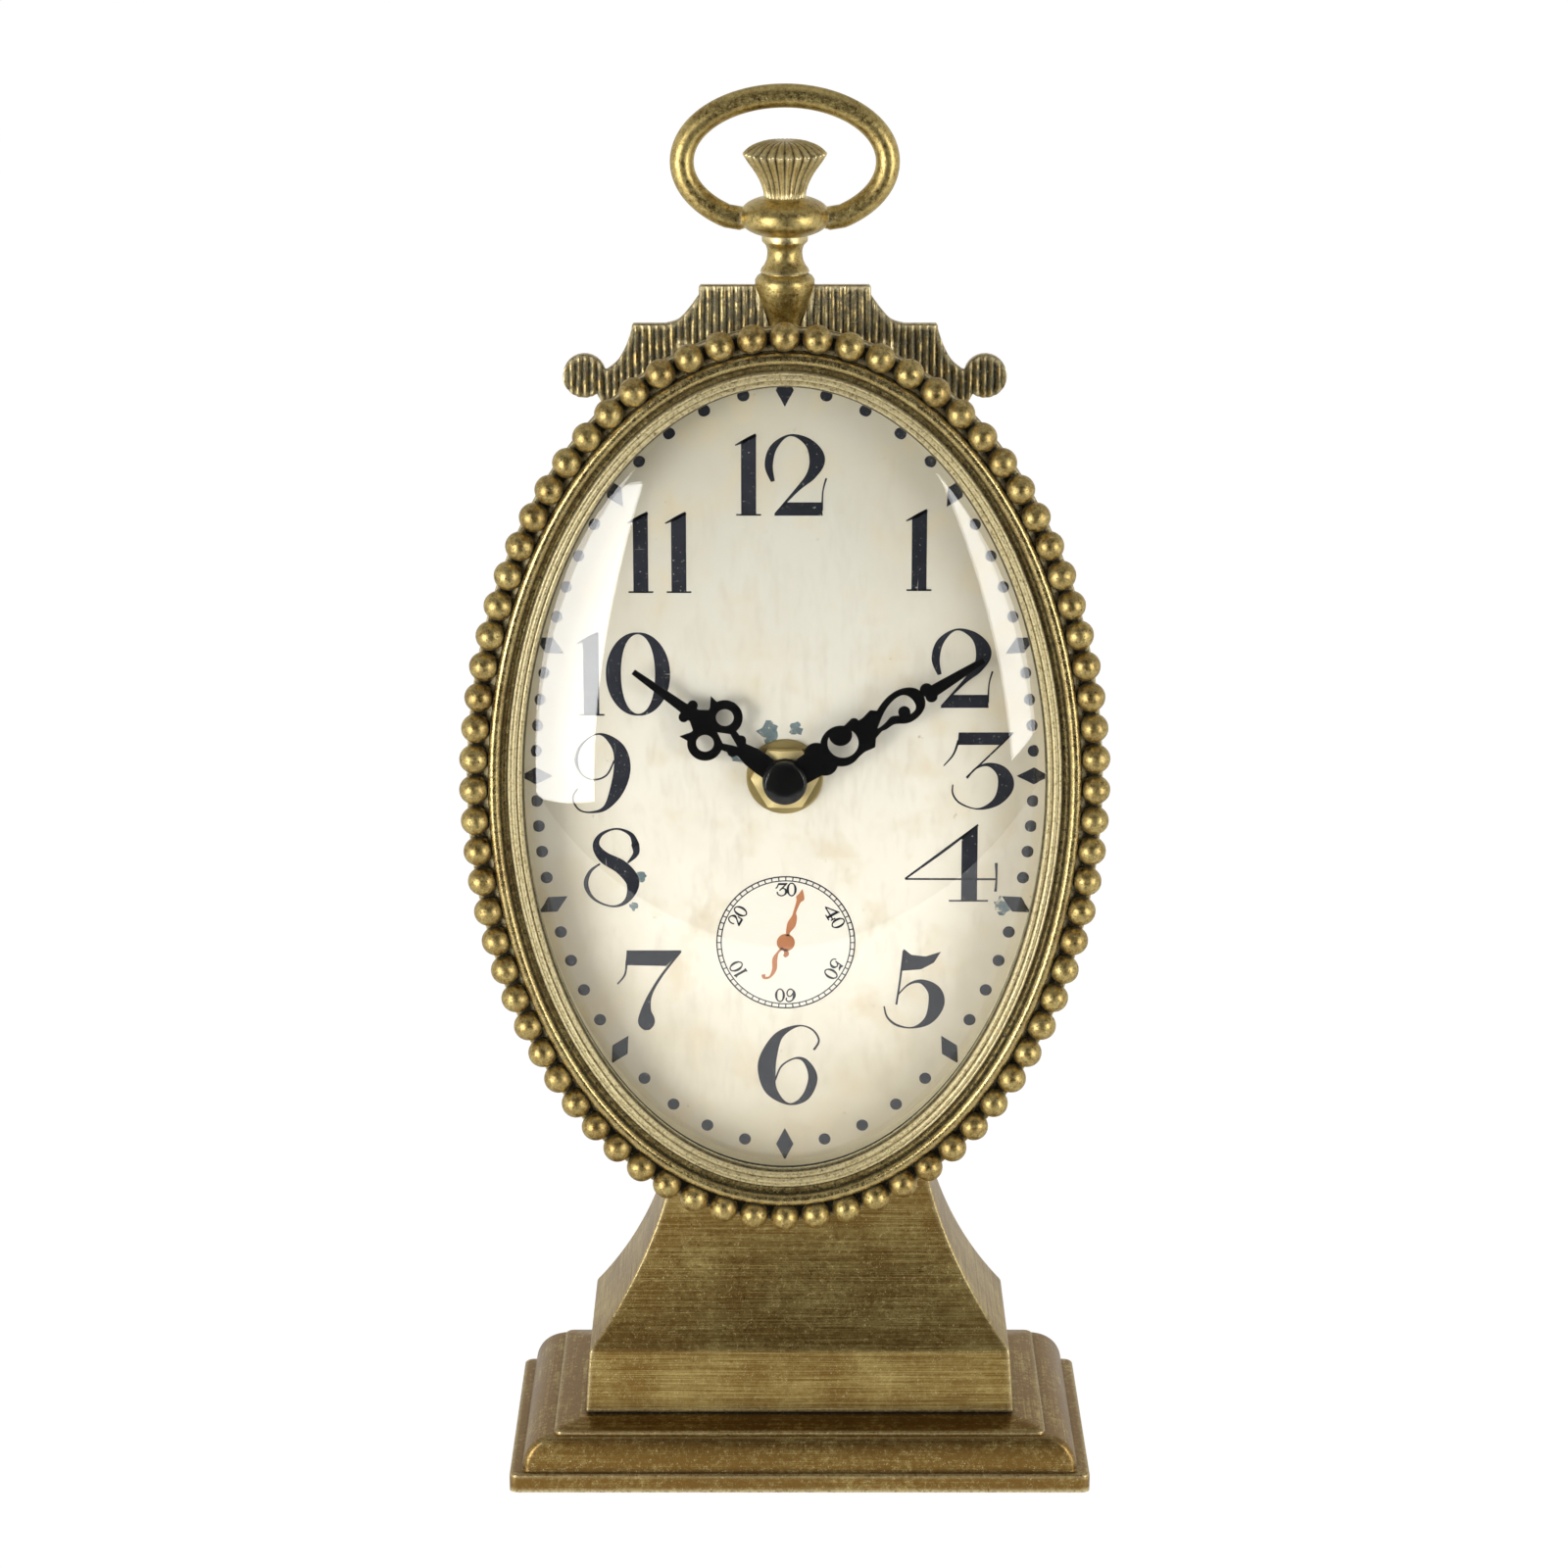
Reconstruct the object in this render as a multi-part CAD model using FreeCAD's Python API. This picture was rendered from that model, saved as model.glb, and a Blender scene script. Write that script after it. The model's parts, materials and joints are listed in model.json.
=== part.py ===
import FreeCAD, Part
import math
import os

V = FreeCAD.Vector

# Frame: millimetres, +Z up, front of the clock towards -Y, origin on the table
# under the middle of the case. Offsets called "out" are measured outwards from
# the edge of the oval dial opening.

# Shared fits
CUT_OVER = 1.0            # how far a cutting tool runs past what it cuts
RUN_GAP = 0.05            # radial running clearance of every shaft
SEAT_GAP = 0.1            # clearance round parts that drop into a seat
REST_GAP = 0.3            # gap between parts that move past each other

# Foot
FOOT_HALF_WIDTH = 58.6
FOOT_HALF_DEPTH = 29.2
FOOT_CORNER_RADIUS = 2.4
SLAB_ROUND = 0.9          # rounding of the slab's upper and lower edges
SLAB_HEIGHT = 3.9
OVOLO_LIP = 2.6           # flat left on the slab at its ends
OVOLO_IN = 6.0            # how far the quarter round comes in at the ends
OVOLO_LIP_FRONT = 1.2     # the same two at the front and the back
OVOLO_IN_FRONT = 1.5
OVOLO_RISER = 0.8
OVOLO_HEIGHT = 6.4
STEP_IN = 0.4
STEP_HEIGHT = 1.8
FOOT_WALL = 7.0
FOOT_ROOF = 4.6
FELT_INSET = 2.2
FELT_THICKNESS = 1.0
FELT_PROUD = 0.3

# Pedestal
STAND_SHIFT = 3.0         # the stand sits this far to the right of the case
BLOCK_HALF_WIDTH = 43.4
BLOCK_HALF_DEPTH = 19.9
BLOCK_HEIGHT = 13.5
BLOCK_DRAFT = 0.9         # the block is this much narrower at its top
SHADOW_GAP = 0.5          # open joint round the seat of the pedestal
SHADOW_GAP_IN = 3.0
SADDLE_LIFT = 30.7        # from the crease to the lowest point of the case
FLANK_HEIGHT = 38.0       # from the crease to the ends of the saddle
FLANK_TOP_HALF_WIDTH = 25.4
FLANK_TOP_HALF_DEPTH = 11.6
FLANK_HOLLOW = 2.7        # depth of the hollow flanks at mid height
CAVITY_WALL = 4.5
CAVITY_ROOF = 10.0
POST_RADIUS = 5.0
FOOT_SCREW_SPACING = 44.0
FOOT_SCREW_RADIUS = 2.0
FOOT_SCREW_HEAD_RADIUS = 3.6
FOOT_SCREW_HEAD = 2.6
FOOT_SCREW_GRIP = 14.0    # thread length inside the pedestal posts

# Oval case
OPENING_HALF_WIDTH = 51.0
OPENING_HALF_HEIGHT = 79.6
DRUM_FRONT_Y = -12.4
DRUM_BACK_Y = 12.9
DRUM_FRONT_OUT = 8.0
DRUM_BACK_OUT = 6.4
DRUM_WALL = 2.2
DRUM_BACK_ROUND = 1.0
LEDGE_OUT = 1.6
LEDGE_THICKNESS = 1.6
CASE_BOSS_RADIUS = 3.6
CASE_BOSS_OUT = 0.9
CASE_BOSS_ANGLE = 45.0
SADDLE_SCREW_SPACING = 18.0
SADDLE_SCREW_RADIUS = 2.0
SADDLE_SCREW_HEAD_RADIUS = 3.5
SADDLE_SCREW_HEAD = 2.4
SADDLE_SCREW_GRIP = 8.0
SADDLE_PAD_MARGIN = 2.0
SADDLE_PAD_HEIGHT = 5.6

# Bead rim
BEAD_COUNT = 76
BEAD_RADIUS = 2.65
BEAD_OUT = 10.1
BEAD_SINK = 1.3           # how far each bead sinks into the rim
RIM_INNER_OUT = 7.1
RIM_OUTER_OUT = 11.9
RIM_THICKNESS = 2.6

# Bezel
BEZEL_WIDTH = 7.0
BEZEL_ROLL_RADIUS = 1.0
BEZEL_ROLL_RISE = 4.9     # from the seat of the bezel to the roll's centre
BEZEL_COVE_WIDTH = 1.5
BEZEL_COVE_DROP = 0.7
BEZEL_LINE_WIDTH = 0.5    # fine raised line inside the cove
BEZEL_REED_WIDTH = 1.1
BEZEL_REED_COUNT = 2
BEZEL_REED_RISE = 4.5
BEZEL_REED_STEP = 0.35    # each reed lies this much deeper than its outer neighbour
BEZEL_LIP_RISE = 2.0      # depth of the rebate that takes the glass
BEZEL_REBATE = 1.6
ARC_STEPS = 6

# Glass and what holds it
GLASS_THICKNESS = 1.6
GLASS_RISE = 8.0
GLASS_RIM_CLEAR = 0.2
GASKET_THICKNESS = 0.4
SPACER_INNER_OUT = 0.8
SPACER_CLEAR = 0.3

# Dial
DIAL_CARD_THICKNESS = 0.3
DIAL_PLATE_THICKNESS = 1.2
DIAL_Y = -6.0
DIAL_CLEAR = 0.3

# Back cover
COVER_THICKNESS = 1.2
COVER_CLEAR = 0.3
COVER_WINDOW_CLEAR = 0.6
COVER_SCREW_RADIUS = 1.5
COVER_SCREW_HEAD_RADIUS = 2.7
COVER_SCREW_HEAD = 1.4
COVER_SCREW_GRIP = 7.0

# Cresting plate
CREST_THICKNESS = 3.0
CREST_TOP_RISE = 9.8      # above the top of the case
CREST_TOP_HALF_WIDTH = 16.6
CREST_SHOULDER_RISE = 1.5
CREST_SHOULDER_HALF_WIDTH = 29.6
CREST_SHOULDER_INNER = 23.2
CREST_EAR_X = 38.9
CREST_EAR_DROP = 8.6
CREST_CURVE = 1.9         # how far the hollow corners start from the corner itself
CREST_EAR_RADIUS = 4.15
CREST_NECK_X = 34.2
CREST_NECK_DROP = 7.3
CREST_FOOT_X = 33.0
CREST_FOOT_DROP = 18.0
CREST_NOTCH_HALF_WIDTH = 5.95
REED_PITCH = 1.4
REED_DEPTH = 0.45
CREST_SCREW_X = 20.0
CREST_SCREW_RADIUS = 1.25
CREST_SCREW_HEAD_RADIUS = 2.3
CREST_SCREW_HEAD = 1.4
CREST_SCREW_GRIP = 4.0
CREST_PAD_HALF = 3.4
CREST_PAD_DEPTH = 6.5

# Pendant: neck, knop and crown on one stud
NECK_FOOT_RADIUS = 3.2
NECK_FOOT_HEIGHT = 2.6
CUP_RADIUS = 5.75
CUP_HEIGHT = 7.7
CUP_ROUND = 0.9
GROOVE_RADIUS = 4.75
GROOVE_DEPTH = 0.35
GROOVE_WIDTH = 0.4
WAIST_RADIUS = 3.35
WAIST_HEIGHT = 4.2
COLLAR_RADIUS = 4.4
COLLAR_HEIGHT = 1.7
COLLAR_RISE = 1.7
KNOP_RADIUS = 8.4
KNOP_HALF_HEIGHT = 3.7
CROWN_FOOT_RADIUS = 4.1
CROWN_STRAIGHT = 1.5
CROWN_RIM_RADIUS = 8.1
CROWN_FLARE_HEIGHT = 7.3
CROWN_FLARE_SHARE = 0.41  # of the spread, reached half way up the flare
CROWN_RIM_BAND = 0.6
CROWN_DOME_HEIGHT = 2.1
CROWN_FLUTES = 26
CROWN_FLUTE_SHARE = 0.07
STUD_RADIUS = 1.5
STUD_NUT_ACROSS_FLATS = 5.5
STUD_NUT_HEIGHT = 2.4
STUD_PAD_HALF = 5.0
STUD_PAD_DEPTH = 3.6
STUD_INTO_CROWN = 6.0

# Bow ring
BOW_HALF_WIDTH = 19.75    # to the middle of the wire
BOW_HALF_HEIGHT = 12.6
BOW_WIRE_RADIUS = 2.3
BOW_END_X = 10.3          # where the wire turns in towards the knop
BOW_COLLAR_RADIUS = 1.9
BOW_COLLAR_WIDTH = 0.8
BOW_PIN_RADIUS = 1.3
BOW_PIN_REACH = 4.6

# Hands
MINUTE_LENGTH = 46.0
HOUR_LENGTH = 36.9
MINUTE_ANGLE = 57.5
HOUR_ANGLE = 306.8
HAND_THICKNESS = 0.45
HAND_GAP = 0.4
CAP_RADIUS = 4.35
CAP_FACE_RADIUS = 3.85
CAP_HEIGHT = 1.7

# Fixing on the dial
WASHER_RADIUS = 7.6
WASHER_THICKNESS = 0.8
NUT_ACROSS_FLATS = 11.0
NUT_HEIGHT = 2.0
NUT_CHAMFER = 0.5
BUSH_RADIUS = 3.9
BUSH_HEADROOM = 0.1       # how far the bush ends short of the nut's face
GASKET_WASHER_THICKNESS = 1.0
GASKET_WASHER_RADIUS = 8.0

# Movement case
MOVE_HALF = 28.0
MOVE_DEPTH = 16.0
MOVE_WALL = 1.2
MOVE_SPLIT = 7.6          # where the two shells meet, from the front
MOVE_CORNER = 2.5
BAY_WALL = 0.8
BATTERY_RADIUS = 7.25
BATTERY_LENGTH = 49.2
BATTERY_NUB_RADIUS = 2.7
BATTERY_NUB = 1.3
BATTERY_TRAVEL = 18.0
CONTACT_THICKNESS = 0.4
CONTACT_HALF_WIDTH = 4.0
CONTACT_BUMP_RADIUS = 2.2

# Arbors
HOUR_PIPE_RADIUS = 2.5
MINUTE_ARBOR_RADIUS = 1.5
CAP_STUD_RADIUS = 1.0
CAP_STUD_LENGTH = 1.0
PIVOT_RADIUS = 0.5
ARBOR_RADIUS = 0.7
POST_PIN_RADIUS = 1.0
STEM_RADIUS = 1.2

# Wheel train
WHEEL_THICKNESS = 0.8
LAYER_GAP = 0.4
TRAIN_PLATE_THICKNESS = 0.8
MOTION_MODULE = 0.5
CANNON_TEETH = 10
MOTION_TEETH = 30
MOTION_PINION_TEETH = 8
HOUR_TEETH = 32
SETTING_TEETH = 12
THIRD_DISTANCE = 11.52    # minute axis to third wheel
IDLER_DISTANCE = 9.8      # minute axis to idler wheel
ROTOR_DISTANCE = 8.4      # idler wheel to rotor
PINION_TEETH = 8
CENTRE_TEETH = 64
THIRD_TEETH = 60
SECOND_TEETH = 48
IDLER_TEETH = 40
THIRD_ANGLE = 125.0
IDLER_ANGLE = 60.0
ROTOR_ANGLE = 20.0
TOOTH_SHARE = 0.36        # tooth width on the pitch circle, share of the pitch
ADDENDUM_SHARE = 0.85     # of the module
DEDENDUM_SHARE = 1.2
FLANK_SLOPE = math.tan(math.radians(20.0))
MAGNET_RADIUS = 2.4
MAGNET_LENGTH = 2.0
STATOR_GAP = 0.4
STATOR_THICKNESS = 0.8
STATOR_MARGIN = 2.6
COIL_RADIUS = 3.0
COIL_LENGTH = 13.0
COIL_CORE_HALF = 1.0
COIL_CHEEK = 0.8
BOARD_THICKNESS = 0.8
CHIP_HEIGHT = 1.0
KNOB_RADIUS = 5.6
KNOB_HEIGHT = 2.4
KNOB_NOTCHES = 24
KNOB_NOTCH_RADIUS = 0.5
TICK = 0.01               # a hair's breadth, to close touching solids

# Heights worked out from the sizes above
FOOT_BASE_Z = FELT_PROUD
SLAB_TOP_Z = FOOT_BASE_Z + SLAB_HEIGHT
OVOLO_TOP_Z = SLAB_TOP_Z + OVOLO_RISER + OVOLO_HEIGHT
FOOT_TOP_Z = OVOLO_TOP_Z + STEP_HEIGHT
CREASE_Z = FOOT_TOP_Z + BLOCK_HEIGHT


def drum_out(y):
    """Outer offset of the drum at depth y: the side tapers towards the back."""
    share = (y - DRUM_FRONT_Y) / (DRUM_BACK_Y - DRUM_FRONT_Y)
    return DRUM_FRONT_OUT + share * (DRUM_BACK_OUT - DRUM_FRONT_OUT)


HUB_Z = CREASE_Z + SADDLE_LIFT + OPENING_HALF_HEIGHT + drum_out(0.0)
CASE_TOP_Z = HUB_Z + OPENING_HALF_HEIGHT + drum_out(0.0)
COLLAR_TOP_Z = (CASE_TOP_Z + NECK_FOOT_HEIGHT + CUP_HEIGHT + CUP_ROUND + GROOVE_WIDTH
                + WAIST_HEIGHT + COLLAR_RISE + COLLAR_HEIGHT)
KNOP_Z = COLLAR_TOP_Z + KNOP_HALF_HEIGHT
BOW_Z = KNOP_Z + BOW_HALF_HEIGHT * math.sqrt(1 - (BOW_END_X / BOW_HALF_WIDTH) ** 2)
CROWN_FOOT_Z = KNOP_Z + KNOP_HALF_HEIGHT - REST_GAP

# Depths of the stack on the dial
CARD_BACK_Y = DIAL_Y + DIAL_CARD_THICKNESS
PLATE_BACK_Y = CARD_BACK_Y + DIAL_PLATE_THICKNESS
MOVE_FRONT_Y = PLATE_BACK_Y + GASKET_WASHER_THICKNESS
MOVE_INNER_Y = MOVE_FRONT_Y + MOVE_WALL
MOVE_BACK_Y = MOVE_FRONT_Y + MOVE_DEPTH
SPLIT_Y = MOVE_FRONT_Y + MOVE_SPLIT
WASHER_FRONT_Y = DIAL_Y - WASHER_THICKNESS
NUT_FRONT_Y = WASHER_FRONT_Y - NUT_HEIGHT
BUSH_FRONT_Y = NUT_FRONT_Y + BUSH_HEADROOM
HOUR_BACK_Y = NUT_FRONT_Y - HAND_GAP
HOUR_FRONT_Y = HOUR_BACK_Y - HAND_THICKNESS
MINUTE_BACK_Y = HOUR_FRONT_Y - HAND_GAP
MINUTE_FRONT_Y = MINUTE_BACK_Y - HAND_THICKNESS

# Depths of the wheel train, front to back
HOUR_WHEEL_Y = MOVE_INNER_Y + LAYER_GAP
CANNON_Y = HOUR_WHEEL_Y + WHEEL_THICKNESS + LAYER_GAP
CENTRE_Y = CANNON_Y + WHEEL_THICKNESS + LAYER_GAP
MID_PLATE_Y = CENTRE_Y + WHEEL_THICKNESS + LAYER_GAP
THIRD_Y = MID_PLATE_Y + TRAIN_PLATE_THICKNESS + LAYER_GAP
SECOND_Y = THIRD_Y + WHEEL_THICKNESS + LAYER_GAP
IDLER_Y = SECOND_Y + WHEEL_THICKNESS + LAYER_GAP
BRIDGE_Y = IDLER_Y + WHEEL_THICKNESS + LAYER_GAP
BRIDGE_BACK_Y = BRIDGE_Y + TRAIN_PLATE_THICKNESS
BOARD_Y = BRIDGE_BACK_Y + LAYER_GAP


# Plain shapes
def box(x0, x1, y0, y1, z0, z1):
    return Part.makeBox(x1 - x0, y1 - y0, z1 - z0, V(x0, y0, z0))


def disc_y(radius, y0, y1, x=0.0, z=HUB_Z):
    return Part.makeCylinder(radius, y1 - y0, V(x, y0, z), V(0, 1, 0))


def rod_z(radius, z0, z1, x=0.0, y=0.0):
    return Part.makeCylinder(radius, z1 - z0, V(x, y, z0), V(0, 0, 1))


def rod_x(radius, x0, x1, y=0.0, z=HUB_Z):
    return Part.makeCylinder(radius, x1 - x0, V(x0, y, z), V(1, 0, 0))


def prism_y(points, y0, y1):
    """Closed polygon of (x, z) points, extruded along Y."""
    corners = [V(x, y0, z) for x, z in points]
    face = Part.Face(Part.makePolygon(corners + corners[:1]))
    return face.extrude(V(0, y1 - y0, 0))


def turned(points, x=0.0, y=0.0):
    """Solid of revolution about a vertical axis from (radius, z) points."""
    corners = [V(x + r, y, z) for r, z in points]
    face = Part.Face(Part.makePolygon(corners + corners[:1]))
    return face.revolve(V(x, y, 0), V(0, 0, 1), 360)


def arc_through(first, middle, last, steps):
    """Points along the circular arc through three (a, b) points."""
    arc = Part.Arc(V(*first, 0), V(*middle, 0), V(*last, 0))
    found = arc.discretize(steps + 1)
    return [(p.x, p.y) for p in found]


def joined(shapes, merge_faces=True):
    whole = shapes[0].multiFuse(shapes[1:])
    if merge_faces:
        whole = whole.removeSplitter()
    if len(whole.Solids) == 1:
        return whole.Solids[0]
    return whole


def drilled(shape, tools):
    left = shape.cut(Part.makeCompound(tools))
    if len(left.Solids) == 1:
        return left.Solids[0]
    return left


# Oval shapes
def oval_wire(out, y):
    major = OPENING_HALF_HEIGHT + out
    minor = OPENING_HALF_WIDTH + out
    centre = V(0, y, HUB_Z)
    top = V(0, y, HUB_Z + major)
    side = V(minor, y, HUB_Z)
    return Part.Wire([Part.Ellipse(top, side, centre).toShape()])


def oval_ring(profile):
    """Ring whose section is the closed polygon of (out, y) points."""
    return Part.makeLoft([oval_wire(out, y) for out, y in profile], True, True, True)


def oval_disc(out0, y0, out1, y1):
    return Part.makeLoft([oval_wire(out0, y0), oval_wire(out1, y1)], True, True)


def oval_place(out, angle):
    """Point (x, z) at an angle parameter on the oval at the given offset."""
    turn = math.radians(angle)
    x = (OPENING_HALF_WIDTH + out) * math.cos(turn)
    z = HUB_Z + (OPENING_HALF_HEIGHT + out) * math.sin(turn)
    return x, z


def even_places(out, count):
    """Points spaced evenly along the oval, starting at the top."""
    ellipse = Part.Ellipse(V(0, 0, OPENING_HALF_HEIGHT + out),
                           V(OPENING_HALF_WIDTH + out, 0, 0), V(0, 0, 0))
    found = ellipse.toShape().discretize(count + 1)[:-1]
    return [(p.x, p.z + HUB_Z) for p in found]


def dome(base_out, base_y):
    """Solid cap of the glass's curve that stands on an oval at base_y."""
    half = OPENING_HALF_WIDTH + base_out
    tall = OPENING_HALF_HEIGHT + base_out
    sphere_radius = (half * half + GLASS_RISE * GLASS_RISE) / (2 * GLASS_RISE)
    ball = Part.makeSphere(sphere_radius, V(0, sphere_radius - GLASS_RISE, 0))
    keep = box(-2 * half, 2 * half, -2 * GLASS_RISE, 0, -2 * half, 2 * half)
    cap = ball.common(keep)
    stretch = FreeCAD.Matrix()
    stretch.scale(1, 1, tall / half)
    cap = cap.transformGeometry(stretch)
    cap.translate(V(0, base_y, HUB_Z))
    return cap


# Mouldings with mitred corners
def mitred(end_profile, front_profile, half_width, half_depth):
    """Profiles are lists of (inset, z); mitres come from crossing two prisms."""
    def section(half, profile):
        right = [(half - inset, z) for inset, z in profile]
        left = [(-x, z) for x, z in reversed(right)]
        return right + left

    wide = [V(x, 0, z) for x, z in section(half_width, end_profile)]
    deep = [V(0, y, z) for y, z in section(half_depth, front_profile)]
    reach = 2 * (half_width + half_depth)
    along = Part.Face(Part.makePolygon(wide + wide[:1])).extrude(V(0, reach, 0))
    along.translate(V(0, -reach / 2, 0))
    across = Part.Face(Part.makePolygon(deep + deep[:1])).extrude(V(reach, 0, 0))
    across.translate(V(-reach / 2, 0, 0))
    return along.common(across)


def foot_screw_places():
    return [STAND_SHIFT + side * FOOT_SCREW_SPACING / 2 for side in (-1, 1)]


def foot_profile(lip, inward):
    """(inset, z) points up one side of the foot, above the slab."""
    start = OVOLO_TOP_Z - OVOLO_HEIGHT
    quarter = []
    for index in range(ARC_STEPS + 1):
        turn = math.pi / 2 * index / ARC_STEPS
        quarter.append((lip + inward * (1 - math.cos(turn)), start + OVOLO_HEIGHT * math.sin(turn)))
    top = lip + inward + STEP_IN
    return [(lip, SLAB_TOP_Z - SLAB_ROUND)] + quarter + [(top, OVOLO_TOP_Z), (top, FOOT_TOP_Z)]


def make_foot():
    slab = box(-FOOT_HALF_WIDTH, FOOT_HALF_WIDTH, -FOOT_HALF_DEPTH, FOOT_HALF_DEPTH, FOOT_BASE_Z, SLAB_TOP_Z)
    uprights = [e for e in slab.Edges if abs(e.tangentAt(e.FirstParameter).z) > 0.9]
    slab = slab.makeFillet(FOOT_CORNER_RADIUS, uprights)
    around = [e for e in slab.Edges if e.BoundBox.ZLength < TICK]
    slab = slab.makeFillet(SLAB_ROUND, around)
    moulding = mitred(foot_profile(OVOLO_LIP, OVOLO_IN), foot_profile(OVOLO_LIP_FRONT, OVOLO_IN_FRONT),
                      FOOT_HALF_WIDTH, FOOT_HALF_DEPTH)
    body = joined([slab, moulding])

    felt_top = FELT_THICKNESS
    felt_x = FOOT_HALF_WIDTH - FELT_INSET + SEAT_GAP
    felt_y = FOOT_HALF_DEPTH - FELT_INSET + SEAT_GAP
    recess = box(-felt_x, felt_x, -felt_y, felt_y, 0, felt_top)
    pocket = box(-FOOT_HALF_WIDTH + FOOT_WALL, FOOT_HALF_WIDTH - FOOT_WALL,
                 -FOOT_HALF_DEPTH + FOOT_WALL, FOOT_HALF_DEPTH - FOOT_WALL,
                 0, FOOT_TOP_Z - FOOT_ROOF)
    posts = [rod_z(FOOT_SCREW_HEAD_RADIUS + FOOT_WALL / 2, felt_top, FOOT_TOP_Z, x - STAND_SHIFT)
             for x in foot_screw_places()]
    body = drilled(body, [recess, pocket.cut(Part.makeCompound(posts))])
    holes = []
    for x in foot_screw_places():
        head = FOOT_SCREW_HEAD_RADIUS + SEAT_GAP
        seat_z = FOOT_TOP_Z - FOOT_ROOF
        holes.append(rod_z(head, 0, seat_z, x - STAND_SHIFT))
        holes.append(rod_z(FOOT_SCREW_RADIUS + SEAT_GAP, 0, FOOT_TOP_Z + CUT_OVER, x - STAND_SHIFT))
    body = drilled(body, holes)
    body.translate(V(STAND_SHIFT, 0, 0))
    return body


def make_felt():
    half_x = FOOT_HALF_WIDTH - FELT_INSET
    half_y = FOOT_HALF_DEPTH - FELT_INSET
    return box(STAND_SHIFT - half_x, STAND_SHIFT + half_x, -half_y, half_y, 0, FELT_THICKNESS)


def make_foot_screws():
    screws = []
    for x in foot_screw_places():
        seat_z = FOOT_TOP_Z - FOOT_ROOF
        head = rod_z(FOOT_SCREW_HEAD_RADIUS, seat_z - FOOT_SCREW_HEAD, seat_z, x)
        shank = rod_z(FOOT_SCREW_RADIUS, seat_z, FOOT_TOP_Z + FOOT_SCREW_GRIP, x)
        screws.append(joined([head, shank]))
    return Part.makeCompound(screws)


def drum_solid():
    return oval_disc(DRUM_FRONT_OUT, DRUM_FRONT_Y, DRUM_BACK_OUT, DRUM_BACK_Y)


def saddle_screw_places():
    return [STAND_SHIFT + side * SADDLE_SCREW_SPACING / 2 for side in (-1, 1)]


def saddle_pad_z():
    """Top of the flat pad inside the case on which the screw heads sit."""
    return CREASE_Z + SADDLE_LIFT + SADDLE_PAD_HEIGHT


def hollow_flank(bottom_half, top_half):
    """(inset, z) points of one hollow flank, from the crease to its top."""
    run = bottom_half - top_half - BLOCK_DRAFT
    chord = math.hypot(run, FLANK_HEIGHT)
    middle = (BLOCK_DRAFT + run / 2 + FLANK_HOLLOW * FLANK_HEIGHT / chord,
              CREASE_Z + FLANK_HEIGHT / 2 - FLANK_HOLLOW * run / chord)
    top = (BLOCK_DRAFT + run, CREASE_Z + FLANK_HEIGHT)
    return arc_through((BLOCK_DRAFT, CREASE_Z), middle, top, 2 * ARC_STEPS)


def make_pedestal():
    def outline(half, top_half):
        flank = hollow_flank(half, top_half)
        seat = half - SHADOW_GAP_IN
        right = [(seat, FOOT_TOP_Z), (seat, FOOT_TOP_Z + SHADOW_GAP), (half, FOOT_TOP_Z + SHADOW_GAP)]
        right += [(half - inset, z) for inset, z in flank]
        return right + [(-x, z) for x, z in reversed(right)]

    front = [V(x, 0, z) for x, z in outline(BLOCK_HALF_WIDTH, FLANK_TOP_HALF_WIDTH)]
    side = [V(0, y, z) for y, z in outline(BLOCK_HALF_DEPTH, FLANK_TOP_HALF_DEPTH)]
    along = Part.Face(Part.makePolygon(front + front[:1])).extrude(V(0, 2 * BLOCK_HALF_WIDTH, 0))
    along.translate(V(0, -BLOCK_HALF_WIDTH, 0))
    across = Part.Face(Part.makePolygon(side + side[:1])).extrude(V(4 * BLOCK_HALF_WIDTH, 0, 0))
    across.translate(V(-2 * BLOCK_HALF_WIDTH, 0, 0))
    body = along.common(across)

    cavity_top = CREASE_Z + SADDLE_LIFT - CAVITY_ROOF
    low_x = BLOCK_HALF_WIDTH - BLOCK_DRAFT - CAVITY_WALL
    low_y = BLOCK_HALF_DEPTH - BLOCK_DRAFT - CAVITY_WALL
    top_x = FLANK_TOP_HALF_WIDTH - CAVITY_WALL
    top_y = FLANK_TOP_HALF_DEPTH - CAVITY_WALL
    base = box(-low_x, low_x, -low_y, low_y, FOOT_TOP_Z, CREASE_Z - CAVITY_WALL)
    shaft = box(-top_x, top_x, -top_y, top_y, FOOT_TOP_Z, cavity_top)
    posts = [rod_z(POST_RADIUS, FOOT_TOP_Z, cavity_top + CUT_OVER, x - STAND_SHIFT)
             for x in foot_screw_places()]
    hollow = base.fuse(shaft).cut(Part.makeCompound(posts))
    holes = [rod_z(FOOT_SCREW_RADIUS, FOOT_TOP_Z, FOOT_TOP_Z + FOOT_SCREW_GRIP, x - STAND_SHIFT)
             for x in foot_screw_places()]
    top = CREASE_Z + SADDLE_LIFT
    holes += [rod_z(SADDLE_SCREW_RADIUS, top - SADDLE_SCREW_GRIP, CREASE_Z + FLANK_HEIGHT, x - STAND_SHIFT)
              for x in saddle_screw_places()]
    body = drilled(body, [hollow] + holes)
    body.translate(V(STAND_SHIFT, 0, 0))
    return drilled(body, [drum_solid()])


def make_saddle_screws():
    screws = []
    for x in saddle_screw_places():
        seat_z = saddle_pad_z()
        head = rod_z(SADDLE_SCREW_HEAD_RADIUS, seat_z, seat_z + SADDLE_SCREW_HEAD, x)
        shank = rod_z(SADDLE_SCREW_RADIUS, CREASE_Z + SADDLE_LIFT - SADDLE_SCREW_GRIP, seat_z, x)
        screws.append(joined([head, shank]))
    return Part.makeCompound(screws)


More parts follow.
